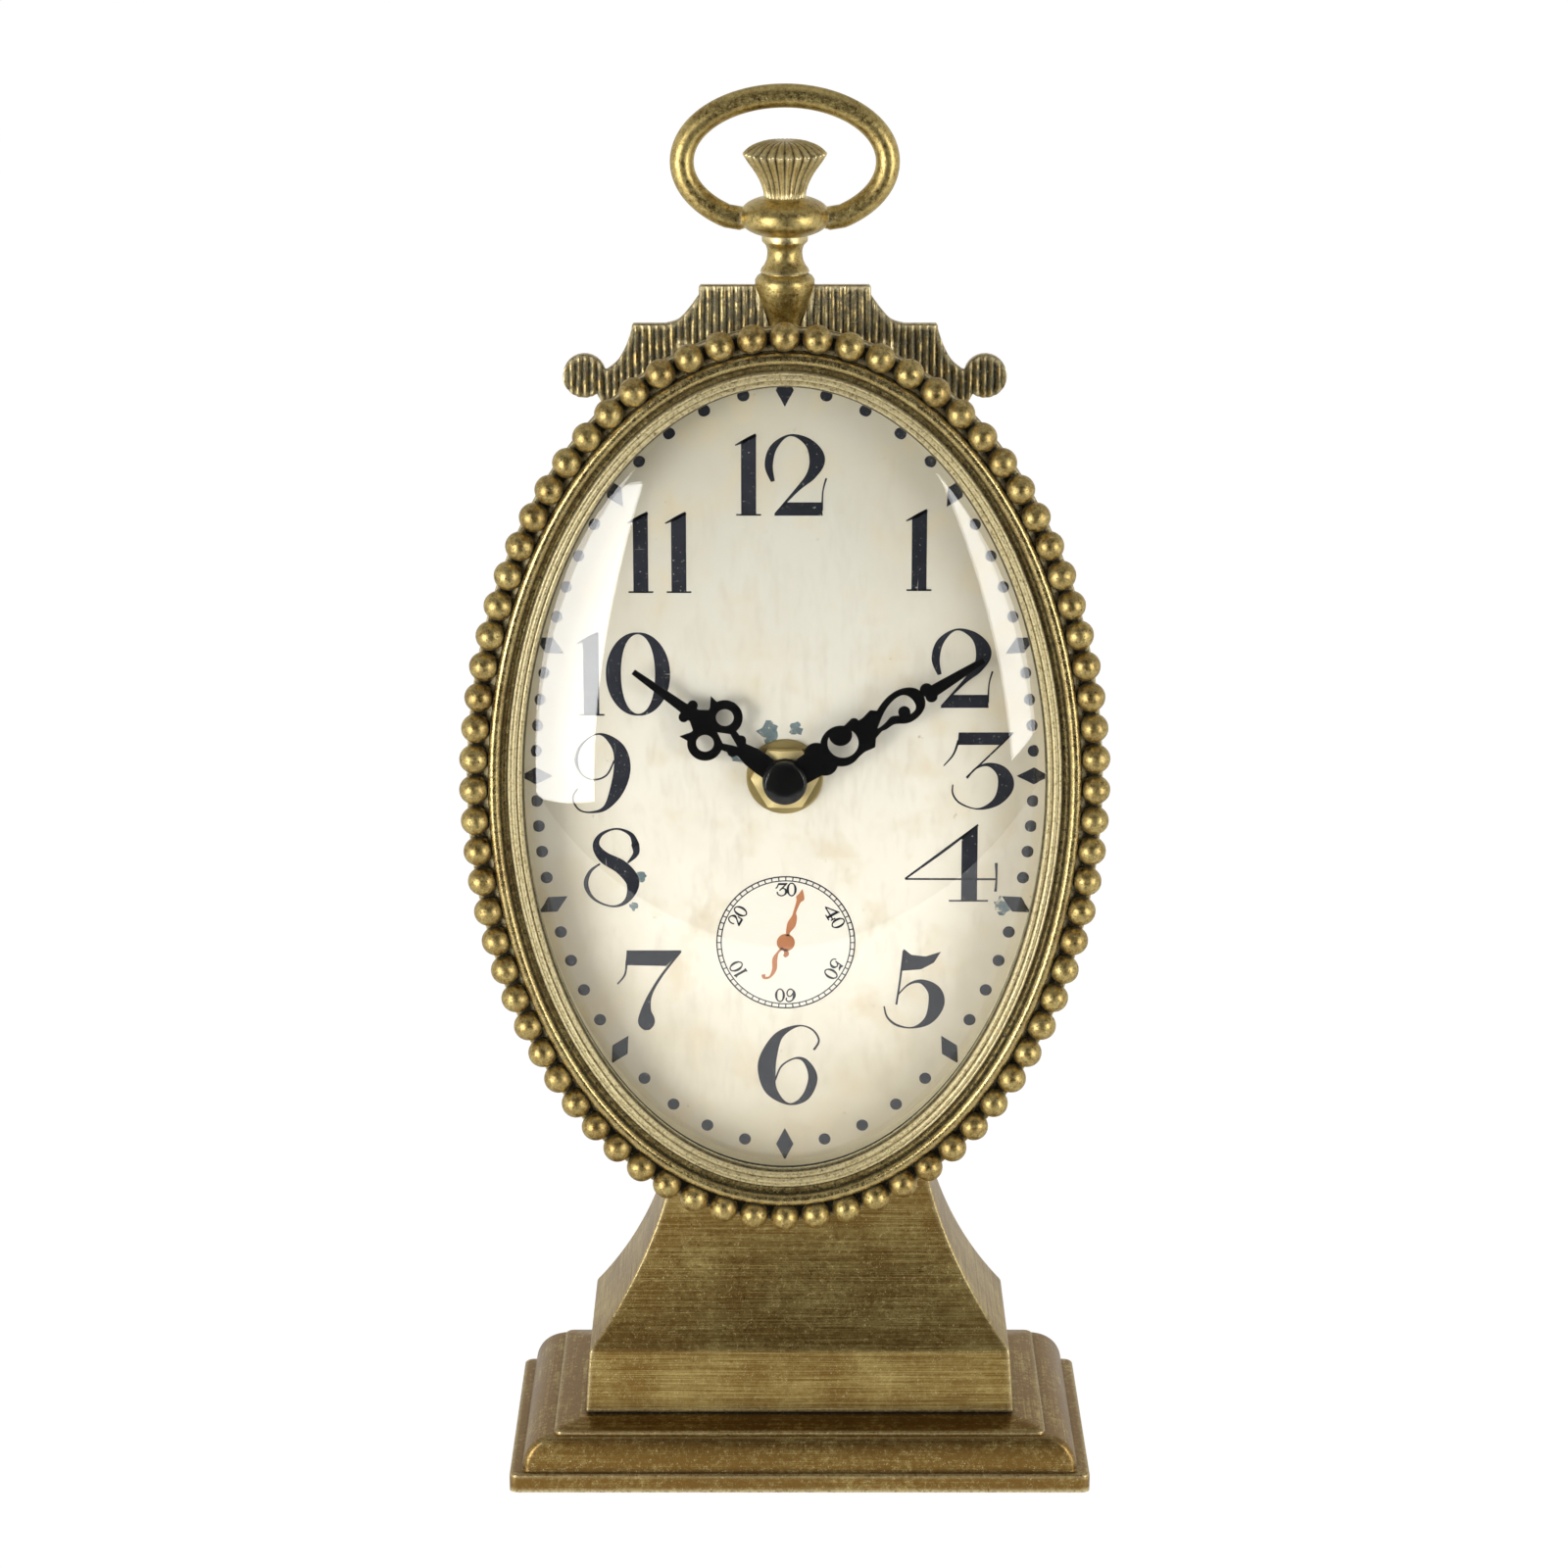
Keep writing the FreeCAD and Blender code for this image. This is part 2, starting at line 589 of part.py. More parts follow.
# Case
def case_boss_places():
    angles = [CASE_BOSS_ANGLE, 180 - CASE_BOSS_ANGLE, 180 + CASE_BOSS_ANGLE, 360 - CASE_BOSS_ANGLE]
    return [oval_place(CASE_BOSS_OUT, angle) for angle in angles]


def crest_pad_z():
    """Underside of the pads inside the case top that carry the crest screws."""
    reach = OPENING_HALF_WIDTH + drum_out(0.0)
    rise = (OPENING_HALF_HEIGHT + drum_out(0.0)) * math.sqrt(1 - (CREST_SCREW_X / reach) ** 2)
    return HUB_Z + rise - CREST_PAD_DEPTH


def make_case():
    outer = drum_solid()
    inner = oval_disc(DRUM_FRONT_OUT - DRUM_WALL, DRUM_FRONT_Y - TICK,
                      DRUM_BACK_OUT - DRUM_WALL, DRUM_BACK_Y + TICK)
    wall = outer.cut(inner)
    ledge_back = PLATE_BACK_Y + LEDGE_THICKNESS
    front_seat = drum_out(PLATE_BACK_Y) - DRUM_WALL / 2
    back_seat = drum_out(ledge_back) - DRUM_WALL / 2
    ledge = oval_ring([(LEDGE_OUT, PLATE_BACK_Y), (front_seat, PLATE_BACK_Y),
                       (back_seat, ledge_back), (LEDGE_OUT, ledge_back)])
    parts = [wall, ledge]
    for x, z in case_boss_places():
        parts.append(disc_y(CASE_BOSS_RADIUS, PLATE_BACK_Y, DRUM_BACK_Y, x, z).common(outer))
    margin = SADDLE_SCREW_HEAD_RADIUS + SADDLE_PAD_MARGIN
    pad_front = PLATE_BACK_Y + REST_GAP
    pad = box(STAND_SHIFT - SADDLE_SCREW_SPACING / 2 - margin, STAND_SHIFT + SADDLE_SCREW_SPACING / 2 + margin,
              pad_front, margin, CREASE_Z, saddle_pad_z())
    parts.append(pad.common(outer))
    for side in (-1, 1):
        x = side * CREST_SCREW_X
        pad = box(x - CREST_PAD_HALF, x + CREST_PAD_HALF, -CREST_PAD_HALF, CREST_PAD_HALF,
                  crest_pad_z(), CASE_TOP_Z)
        parts.append(pad.common(outer))
    stud_pad = box(-STUD_PAD_HALF, STUD_PAD_HALF, pad_front, STUD_PAD_HALF,
                   CASE_TOP_Z - STUD_PAD_DEPTH, CASE_TOP_Z)
    parts.append(stud_pad.common(outer))
    body = joined(parts, False)
    holes = [disc_y(COVER_SCREW_RADIUS, DRUM_BACK_Y - COVER_SCREW_GRIP, DRUM_BACK_Y + CUT_OVER, x, z)
             for x, z in case_boss_places()]
    for x in saddle_screw_places():
        holes.append(rod_z(SADDLE_SCREW_RADIUS + SEAT_GAP, CREASE_Z, saddle_pad_z() + CUT_OVER, x))
        holes.append(rod_z(SADDLE_SCREW_HEAD_RADIUS + REST_GAP, saddle_pad_z(),
                           saddle_pad_z() + SADDLE_SCREW_HEAD + CUT_OVER, x))
    holes += [rod_z(CREST_SCREW_RADIUS + SEAT_GAP, crest_pad_z() - CUT_OVER, CASE_TOP_Z, side * CREST_SCREW_X)
              for side in (-1, 1)]
    holes.append(rod_z(STUD_RADIUS + SEAT_GAP, CASE_TOP_Z - STUD_PAD_DEPTH - CUT_OVER, CASE_TOP_Z + CUT_OVER))
    return drilled(body, holes)


def make_bead_rim():
    front_y = DRUM_FRONT_Y - RIM_THICKNESS
    bead_y = front_y - BEAD_RADIUS + BEAD_SINK
    rim = oval_ring([(RIM_INNER_OUT, front_y), (RIM_OUTER_OUT, front_y),
                     (RIM_OUTER_OUT, DRUM_FRONT_Y), (RIM_INNER_OUT, DRUM_FRONT_Y)])
    beads = [Part.makeSphere(BEAD_RADIUS, V(x, bead_y, z)) for x, z in even_places(BEAD_OUT, BEAD_COUNT)]
    return joined([rim] + beads)


def make_bezel():
    seat_y = DRUM_FRONT_Y
    roll_out = BEZEL_WIDTH - BEZEL_ROLL_RADIUS
    roll_y = seat_y - BEZEL_ROLL_RISE
    inner_roll = roll_out - BEZEL_ROLL_RADIUS
    roll = arc_through((BEZEL_WIDTH, roll_y), (roll_out, roll_y - BEZEL_ROLL_RADIUS), (inner_roll, roll_y),
                       2 * ARC_STEPS)
    cove_end = inner_roll - BEZEL_COVE_WIDTH
    reed_y = seat_y - BEZEL_REED_RISE
    cove_mid = (inner_roll - BEZEL_COVE_WIDTH / 2, reed_y + BEZEL_COVE_DROP)
    cove = arc_through((inner_roll, roll_y), cove_mid, (cove_end, reed_y), ARC_STEPS)
    reeds = []
    outer = cove_end
    for index, width in enumerate([BEZEL_LINE_WIDTH] + [BEZEL_REED_WIDTH] * BEZEL_REED_COUNT):
        level = reed_y + index * BEZEL_REED_STEP
        reeds += arc_through((outer, level), (outer - width / 2, level - width / 2), (outer - width, level),
                             ARC_STEPS)
        outer -= width
    lip_y = seat_y - BEZEL_LIP_RISE
    rest = [(0, reeds[-1][1] + BEZEL_REED_STEP), (0, lip_y), (BEZEL_REBATE, lip_y), (BEZEL_REBATE, seat_y)]
    profile = [(BEZEL_WIDTH, seat_y)] + roll + cove[1:] + reeds + rest
    clean = [profile[0]]
    for point in profile[1:]:
        if math.hypot(point[0] - clean[-1][0], point[1] - clean[-1][1]) > TICK:
            clean.append(point)
    return oval_ring(clean)


def glass_rim_y():
    return DRUM_FRONT_Y - BEZEL_LIP_RISE


def make_glass():
    rim_out = BEZEL_REBATE - GLASS_RIM_CLEAR
    rim_y = glass_rim_y()
    back_y = rim_y + GLASS_THICKNESS
    inset = -GLASS_RIM_CLEAR
    plate = oval_disc(rim_out, rim_y, rim_out, back_y)
    outside = dome(inset, rim_y)
    inside = dome(inset, back_y)
    return plate.fuse(outside).cut(inside).Solids[0]


def make_lens_gasket():
    out = BEZEL_REBATE - GLASS_RIM_CLEAR
    back_y = glass_rim_y() + GLASS_THICKNESS
    return oval_ring([(0, back_y), (out, back_y), (out, back_y + GASKET_THICKNESS), (0, back_y + GASKET_THICKNESS)])


def make_spacer():
    out_front = DRUM_FRONT_OUT - DRUM_WALL - SPACER_CLEAR
    out_back = drum_out(DIAL_Y) - DRUM_WALL - SPACER_CLEAR
    return oval_ring([(SPACER_INNER_OUT, DRUM_FRONT_Y), (out_front, DRUM_FRONT_Y),
                      (out_back, DIAL_Y), (SPACER_INNER_OUT, DIAL_Y)])


def make_dial_layer(front_y, back_y):
    out = drum_out(PLATE_BACK_Y) - DRUM_WALL - DIAL_CLEAR
    hole = disc_y(BUSH_RADIUS + SEAT_GAP, front_y - CUT_OVER, back_y + CUT_OVER)
    return drilled(oval_disc(out, front_y, out, back_y), [hole])


def make_back_cover():
    back_y = DRUM_BACK_Y + COVER_THICKNESS
    out = DRUM_BACK_OUT - COVER_CLEAR
    plate = oval_disc(out, DRUM_BACK_Y, out - COVER_THICKNESS / 2, back_y)
    half = MOVE_HALF + COVER_WINDOW_CLEAR
    window = box(-half, half, DRUM_BACK_Y - CUT_OVER, back_y + CUT_OVER, HUB_Z - half, HUB_Z + half)
    uprights = [e for e in window.Edges if abs(e.tangentAt(e.FirstParameter).y) > 0.9]
    window = window.makeFillet(MOVE_CORNER, uprights)
    holes = [disc_y(COVER_SCREW_RADIUS + SEAT_GAP, DRUM_BACK_Y - CUT_OVER, back_y + CUT_OVER, x, z)
             for x, z in case_boss_places()]
    return drilled(plate, [window] + holes)


def make_cover_screws():
    back_y = DRUM_BACK_Y + COVER_THICKNESS
    screws = []
    for x, z in case_boss_places():
        shank = disc_y(COVER_SCREW_RADIUS, DRUM_BACK_Y - COVER_SCREW_GRIP, back_y, x, z)
        head = disc_y(COVER_SCREW_HEAD_RADIUS, back_y, back_y + COVER_SCREW_HEAD, x, z)
        slot_half = COVER_SCREW_RADIUS / 4
        slot = box(x - COVER_SCREW_HEAD_RADIUS, x + COVER_SCREW_HEAD_RADIUS,
                   back_y + COVER_SCREW_HEAD / 2, back_y + COVER_SCREW_HEAD, z - slot_half, z + slot_half)
        screws.append(drilled(joined([shank, head]), [slot]))
    return Part.makeCompound(screws)


# Cresting plate
def crest_outline():
    """Right half of the outline, from the top middle down to the case."""
    top_z = CASE_TOP_Z + CREST_TOP_RISE
    shoulder_z = CASE_TOP_Z + CREST_SHOULDER_RISE
    neck = (CREST_NECK_X, CASE_TOP_Z - CREST_NECK_DROP)
    upper = arc_through((CREST_TOP_HALF_WIDTH, top_z - CREST_CURVE),
                        (CREST_TOP_HALF_WIDTH + CREST_CURVE, shoulder_z + CREST_CURVE),
                        (CREST_SHOULDER_INNER, shoulder_z), ARC_STEPS)
    lower = arc_through((CREST_SHOULDER_HALF_WIDTH, shoulder_z - CREST_CURVE / 2),
                        (CREST_SHOULDER_HALF_WIDTH + CREST_CURVE / 2, shoulder_z - 2 * CREST_CURVE),
                        neck, ARC_STEPS)
    points = [(0, top_z), (CREST_TOP_HALF_WIDTH, top_z)] + upper
    points += [(CREST_SHOULDER_HALF_WIDTH, shoulder_z)] + lower
    points += [(CREST_EAR_X, CASE_TOP_Z - CREST_EAR_DROP)]
    points += [(CREST_EAR_X - CREST_EAR_RADIUS / 2, CASE_TOP_Z - CREST_EAR_DROP - CREST_EAR_RADIUS)]
    points += [(CREST_FOOT_X, CASE_TOP_Z - CREST_FOOT_DROP), (0, CASE_TOP_Z - CREST_FOOT_DROP)]
    return points


def make_cresting():
    front = -CREST_THICKNESS / 2
    back = CREST_THICKNESS / 2
    right = crest_outline()
    left = [(-x, z) for x, z in reversed(right)][1:-1]
    parts = [prism_y(right + left, front, back)]
    ear_z = CASE_TOP_Z - CREST_EAR_DROP
    parts += [disc_y(CREST_EAR_RADIUS, front, back, side * CREST_EAR_X, ear_z) for side in (-1, 1)]
    body = joined(parts)
    reach = CREST_EAR_X + CREST_EAR_RADIUS
    count = int(reach / REED_PITCH)
    low = CASE_TOP_Z - CREST_FOOT_DROP - CUT_OVER
    high = CASE_TOP_Z + CREST_TOP_RISE + CUT_OVER
    tools = []
    half = REED_PITCH / 2 - REED_DEPTH / 2
    for index in range(-count, count + 1):
        x = index * REED_PITCH
        corners = [V(x - half, front, low), V(x, front + REED_DEPTH, low), V(x + half, front, low)]
        groove = Part.Face(Part.makePolygon(corners + corners[:1])).extrude(V(0, 0, high - low))
        tools.append(groove)
    notch = CREST_NOTCH_HALF_WIDTH
    tools.append(box(-notch, notch, front - CUT_OVER, back + CUT_OVER, low, high))
    tools.append(drum_solid())
    tools += [rod_z(CREST_SCREW_RADIUS, low, crest_pad_z() + CREST_PAD_DEPTH + CREST_SCREW_GRIP, side * CREST_SCREW_X)
              for side in (-1, 1)]
    body = body.cut(Part.makeCompound(tools))
    sides = [s for s in body.Solids if s.BoundBox.ZMax > CASE_TOP_Z]
    return Part.makeCompound(sides)


def make_crest_screws():
    screws = []
    for side in (-1, 1):
        x = side * CREST_SCREW_X
        top = crest_pad_z() + CREST_PAD_DEPTH + CREST_SCREW_GRIP
        head = rod_z(CREST_SCREW_HEAD_RADIUS, crest_pad_z() - CREST_SCREW_HEAD, crest_pad_z(), x)
        shank = rod_z(CREST_SCREW_RADIUS, crest_pad_z(), top, x)
        screws.append(joined([head, shank]))
    return Part.makeCompound(screws)


# Pendant
def make_neck():
    z = CASE_TOP_Z
    foot = NECK_FOOT_RADIUS
    cup_z = z + NECK_FOOT_HEIGHT
    wide_z = cup_z + CUP_HEIGHT
    groove_z = wide_z + CUP_ROUND
    flare_z = groove_z + GROOVE_WIDTH
    waist_z = flare_z + WAIST_HEIGHT
    collar_z = waist_z + COLLAR_RISE
    swell = arc_through((foot, cup_z), ((foot + CUP_RADIUS) / 2 + GROOVE_DEPTH / 2, cup_z + CUP_HEIGHT / 2),
                        (CUP_RADIUS - GROOVE_DEPTH, wide_z - CUP_ROUND), ARC_STEPS)
    rim = arc_through((CUP_RADIUS - GROOVE_DEPTH, wide_z - CUP_ROUND), (CUP_RADIUS, wide_z),
                      (GROOVE_RADIUS, groove_z), ARC_STEPS)
    flare = arc_through((GROOVE_RADIUS, flare_z), (WAIST_RADIUS + GROOVE_DEPTH, waist_z - WAIST_HEIGHT / 2),
                        (WAIST_RADIUS, waist_z), ARC_STEPS)
    collar = arc_through((WAIST_RADIUS, waist_z), (WAIST_RADIUS + GROOVE_DEPTH, collar_z - GROOVE_WIDTH),
                         (COLLAR_RADIUS - GROOVE_DEPTH, collar_z), ARC_STEPS)
    points = [(0, z - DRUM_WALL), (foot, z - DRUM_WALL)] + swell + rim[1:]
    points += [(GROOVE_RADIUS - GROOVE_DEPTH, groove_z), (GROOVE_RADIUS - GROOVE_DEPTH, flare_z)]
    points += flare + collar[1:] + [(COLLAR_RADIUS, collar_z + GROOVE_WIDTH), (COLLAR_RADIUS, COLLAR_TOP_Z)]
    points += [(0, COLLAR_TOP_Z)]
    body = turned(points)
    bore = rod_z(STUD_RADIUS + SEAT_GAP, z - DRUM_WALL - CUT_OVER, COLLAR_TOP_Z + CUT_OVER)
    return drilled(body, [bore, drum_solid(), knop_ball()])


def knop_ball():
    ball = Part.makeSphere(KNOP_RADIUS)
    squash = FreeCAD.Matrix()
    squash.scale(1, 1, KNOP_HALF_HEIGHT / KNOP_RADIUS)
    ball = ball.transformGeometry(squash)
    ball.translate(V(0, 0, KNOP_Z))
    return ball


def make_knop():
    bore = BOW_PIN_RADIUS + RUN_GAP
    holes = [rod_x(bore, BOW_PIN_REACH - REST_GAP, KNOP_RADIUS + CUT_OVER, 0.0, KNOP_Z),
             rod_x(bore, -KNOP_RADIUS - CUT_OVER, -BOW_PIN_REACH + REST_GAP, 0.0, KNOP_Z),
             rod_z(STUD_RADIUS + SEAT_GAP, COLLAR_TOP_Z - CUT_OVER, KNOP_Z + KNOP_HALF_HEIGHT + CUT_OVER)]
    for side in (-1, 1):
        near = side * bow_collar_x()
        far = side * (KNOP_RADIUS + CUT_OVER)
        holes.append(rod_x(BOW_COLLAR_RADIUS + REST_GAP, min(near, far), max(near, far), 0.0, KNOP_Z))
    return drilled(knop_ball(), holes)


def bow_collar_x():
    """Distance from the middle at which the bow's collars seat in the knop."""
    return KNOP_RADIUS - BOW_COLLAR_WIDTH / 2


def fluted_wire(radius, z):
    corners = []
    for index in range(2 * CROWN_FLUTES):
        turn = math.pi * index / CROWN_FLUTES
        reach = radius * (1 - CROWN_FLUTE_SHARE * (index % 2))
        corners.append(V(reach * math.cos(turn), reach * math.sin(turn), z))
    return Part.makePolygon(corners + corners[:1])


def make_crown():
    foot_z = CROWN_FOOT_Z
    flare_z = foot_z + CROWN_STRAIGHT
    rim_z = flare_z + CROWN_FLARE_HEIGHT
    dome_z = rim_z + CROWN_RIM_BAND + CROWN_DOME_HEIGHT
    spread = CROWN_RIM_RADIUS - CROWN_FOOT_RADIUS
    flare = arc_through((CROWN_FOOT_RADIUS, flare_z),
                        (CROWN_FOOT_RADIUS + spread * CROWN_FLARE_SHARE, flare_z + CROWN_FLARE_HEIGHT / 2),
                        (CROWN_RIM_RADIUS, rim_z), ARC_STEPS)
    cap = arc_through((CROWN_RIM_RADIUS, rim_z + CROWN_RIM_BAND / 2),
                      (CROWN_RIM_RADIUS * math.sqrt(0.5), dome_z - CROWN_DOME_HEIGHT / 3),
                      (CROWN_RIM_RADIUS / 4, dome_z), ARC_STEPS)
    profile = [(CROWN_FOOT_RADIUS, foot_z)] + flare + cap
    body = Part.makeLoft([fluted_wire(r, z) for r, z in profile], True, True)
    bore = rod_z(STUD_RADIUS, foot_z - CUT_OVER, foot_z + STUD_INTO_CROWN)
    return drilled(body, [bore, knop_ball()])


def make_stud():
    """Threaded stud through case, neck, knop and crown, with its nut inside."""
    nut_top = CASE_TOP_Z - STUD_PAD_DEPTH
    stud = rod_z(STUD_RADIUS, nut_top - STUD_NUT_HEIGHT - CUT_OVER, CROWN_FOOT_Z + STUD_INTO_CROWN)
    return stud


def hex_prism(across, low, high, along_z, x=0.0, y=0.0, z=HUB_Z):
    reach = across / 2 / math.cos(math.radians(30))
    corners = []
    for index in range(6):
        turn = math.radians(60 * index)
        first = reach * math.cos(turn)
        second = reach * math.sin(turn)
        corners.append(V(x + first, y + second, low) if along_z else V(x + first, low, z + second))
    face = Part.Face(Part.makePolygon(corners + corners[:1]))
    span = high - low
    return face.extrude(V(0, 0, span) if along_z else V(0, span, 0))


def make_stud_nut():
    top = CASE_TOP_Z - STUD_PAD_DEPTH
    nut = hex_prism(STUD_NUT_ACROSS_FLATS, top - STUD_NUT_HEIGHT, top, True)
    return drilled(nut, [rod_z(STUD_RADIUS, top - STUD_NUT_HEIGHT - CUT_OVER, top + CUT_OVER)])


def make_bow():
    end_z = KNOP_Z
    ellipse = Part.Ellipse(V(BOW_HALF_WIDTH, 0, BOW_Z), V(0, 0, BOW_Z + BOW_HALF_HEIGHT), V(0, 0, BOW_Z))
    start = ellipse.parameter(V(BOW_END_X, 0, end_z))
    finish = ellipse.parameter(V(-BOW_END_X, 0, end_z))
    if start > finish:
        start -= 2 * math.pi
    path = Part.Wire([Part.ArcOfEllipse(ellipse, start, finish).toShape()])
    edge = path.Edges[0]
    at = edge.valueAt(edge.FirstParameter)
    towards = edge.tangentAt(edge.FirstParameter)
    ring = Part.Wire([Part.makeCircle(BOW_WIRE_RADIUS, at, towards)])
    wire = path.makePipeShell([ring], True, False)
    parts = [wire]
    for side in (-1, 1):
        seat = bow_collar_x() + REST_GAP / 2
        reaches = [(BOW_COLLAR_RADIUS, seat, seat + BOW_COLLAR_WIDTH),
                   (BOW_WIRE_RADIUS, seat + BOW_COLLAR_WIDTH, BOW_END_X),
                   (BOW_PIN_RADIUS, BOW_PIN_REACH, seat)]
        for radius, near, far in reaches:
            parts.append(rod_x(radius, min(side * near, side * far), max(side * near, side * far), 0.0, KNOP_Z))
        parts.append(Part.makeSphere(BOW_WIRE_RADIUS, V(side * BOW_END_X, 0, KNOP_Z)))
    return joined(parts)


# Hands: outlines are shares of the hand's length, (along, left) from the hub
HOUR_LEAF_SHARES = ((0.08, 0.056), (0.15, 0.058), (0.22, 0.055), (0.285, 0.04), (0.32, 0.05),
                    (0.39, 0.07), (0.47, 0.055), (0.555, 0.071), (0.6, 0.039), (0.64, 0.036), (0.68, 0.027))
HOUR_LOBE_SHARES = ((0.32, 0.038, 0.028), (0.64, 0.04, 0.027))
HOUR_RING_SHARES = (0.464, 0.0885, 0.095, 0.0474)
HOUR_SPIKE_SHARES = ((0.55, 0.07), (0.594, 0.138), (0.545, 0.132))
HOUR_DIAMOND_SHARES = ((0.45, 0.0), (0.387, 0.033), (0.314, 0.0), (0.387, -0.033))
HOUR_BAR_SHARES = ((0.65, 0.029), (1.0, 0.0145))
MINUTE_STEM_SHARES = ((0.05, 0.055), (0.15, 0.06), (0.24, 0.05), (0.36, 0.05), (0.42, 0.04), (0.47, 0.03))
MINUTE_SWELL_SHARES = ((0.178, 0.03, 0.052), (0.19, -0.022, 0.055), (0.288, 0.005, 0.0895))
MINUTE_CRESCENT_SHARES = ((0.302, 0.012, 0.066), (0.313, 0.05, 0.05))
MINUTE_BODY_SHARES = ((0.33, 0.07), (0.375, 0.08), (0.4, 0.06), (0.43, 0.06), (0.476, 0.072), (0.5, 0.054),
                      (0.5, -0.03), (0.47, -0.032), (0.433, -0.044), (0.408, -0.077), (0.36, -0.07), (0.33, -0.075))
MINUTE_LOBE_SHARES = ((0.388, 0.06, 0.0226), (0.725, 0.019, 0.029), (0.728, -0.015, 0.026))
MINUTE_LOOP_SHARES = ((0.46, 0.03), (0.5, 0.055), (0.575, 0.083), (0.652, 0.076), (0.698, 0.035),
                      (0.69, -0.028), (0.636, -0.061), (0.57, -0.056), (0.528, -0.034), (0.472, -0.03))
MINUTE_COMMA_SHARES = ((0.462, -0.01), (0.506, 0.023), (0.577, 0.056), (0.634, 0.052), (0.653, 0.015),
                       (0.64, -0.028), (0.62, -0.034), (0.56, -0.01), (0.54, -0.001), (0.491, -0.012))
MINUTE_CURL_SHARES = (0.594, -0.0125, 0.026)
MINUTE_BAR_SHARES = ((0.71, 0.028), (1.0, 0.0125))
HUB_DISC_SHARE = 0.12     # of the hand's length


def hand_piece(points, length, back_y, smooth=False):
    corners = [V(-left * length, back_y, HUB_Z + along * length) for along, left in points]
    if smooth:
        curve = Part.BSplineCurve()
        curve.interpolate(corners, PeriodicFlag=True)
        wire = Part.Wire([curve.toShape()])
    else:
        wire = Part.makePolygon(corners + corners[:1])
    return Part.Face(wire).extrude(V(0, -HAND_THICKNESS, 0))


def hand_disc(along, left, radius, length, back_y):
    return disc_y(radius * length, back_y - HAND_THICKNESS, back_y, -left * length, HUB_Z + along * length)


def both_sides(half):
    """Closed outline from the (along, left) points of its left half."""
    return list(half) + [(along, -left) for along, left in reversed(half)]


def turned_to(shape, angle):
    shape.rotate(V(0, 0, HUB_Z), V(0, 1, 0), angle)
    return shape


def make_hour_hand():
    length = HOUR_LENGTH
    back_y = HOUR_BACK_Y
    parts = [hand_disc(0, 0, HUB_DISC_SHARE, length, back_y)]
    parts.append(hand_piece(both_sides(HOUR_LEAF_SHARES), length, back_y))
    parts.append(hand_piece(both_sides(HOUR_BAR_SHARES), length, back_y))
    ring_at, ring_off, ring_radius, ring_hole = HOUR_RING_SHARES
    for side in (-1, 1):
        parts.append(hand_disc(ring_at, side * ring_off, ring_radius, length, back_y))
        parts.append(hand_piece([(a, side * b) for a, b in HOUR_SPIKE_SHARES], length, back_y))
        parts += [hand_disc(a, side * b, r, length, back_y) for a, b, r in HOUR_LOBE_SHARES]
    holes = [hand_piece(HOUR_DIAMOND_SHARES, length, back_y)]
    holes += [hand_disc(ring_at, side * ring_off, ring_hole, length, back_y) for side in (-1, 1)]
    holes.append(disc_y(HOUR_PIPE_RADIUS, HOUR_FRONT_Y, HOUR_BACK_Y))
    return turned_to(drilled(joined(parts), holes), HOUR_ANGLE)


def make_minute_hand():
    length = MINUTE_LENGTH
    back_y = MINUTE_BACK_Y
    hub = HUB_DISC_SHARE * HOUR_LENGTH / MINUTE_LENGTH
    parts = [hand_disc(0, 0, hub, length, back_y)]
    parts.append(hand_piece(both_sides(MINUTE_STEM_SHARES), length, back_y))
    parts.append(hand_piece(both_sides(MINUTE_BAR_SHARES), length, back_y))
    parts.append(hand_piece(MINUTE_BODY_SHARES, length, back_y))
    parts += [hand_disc(a, b, r, length, back_y) for a, b, r in MINUTE_SWELL_SHARES + MINUTE_LOBE_SHARES]
    solid = joined(parts)
    loop = hand_piece(MINUTE_LOOP_SHARES, length, back_y, True)
    comma = hand_piece(MINUTE_COMMA_SHARES, length, back_y, True)
    curl = hand_disc(*MINUTE_CURL_SHARES, length, back_y)
    outer, inner = MINUTE_CRESCENT_SHARES
    crescent = hand_disc(*outer, length, back_y).cut(hand_disc(*inner, length, back_y))
    solid = solid.fuse(loop).cut(comma).fuse(curl).removeSplitter().cut(crescent)
    stem = disc_y(MINUTE_ARBOR_RADIUS, MINUTE_FRONT_Y, MINUTE_BACK_Y)
    return turned_to(drilled(solid, [stem]), MINUTE_ANGLE)


def make_cap():
    face_y = MINUTE_FRONT_Y - CAP_HEIGHT
    bevel = CAP_RADIUS - CAP_FACE_RADIUS
    body = disc_y(CAP_RADIUS, face_y, MINUTE_FRONT_Y)
    rim = max(body.Edges, key=lambda e: e.Length if abs(e.BoundBox.YMax - face_y) < TICK else 0)
    body = body.makeChamfer(bevel, [rim])
    hole = disc_y(CAP_STUD_RADIUS, MINUTE_FRONT_Y - CAP_STUD_LENGTH, MINUTE_FRONT_Y)
    return drilled(body, [hole])


# Fixing on the dial
def make_washer():
    ring = disc_y(WASHER_RADIUS, WASHER_FRONT_Y, DIAL_Y)
    return drilled(ring, [disc_y(BUSH_RADIUS + SEAT_GAP, WASHER_FRONT_Y - CUT_OVER, DIAL_Y + CUT_OVER)])


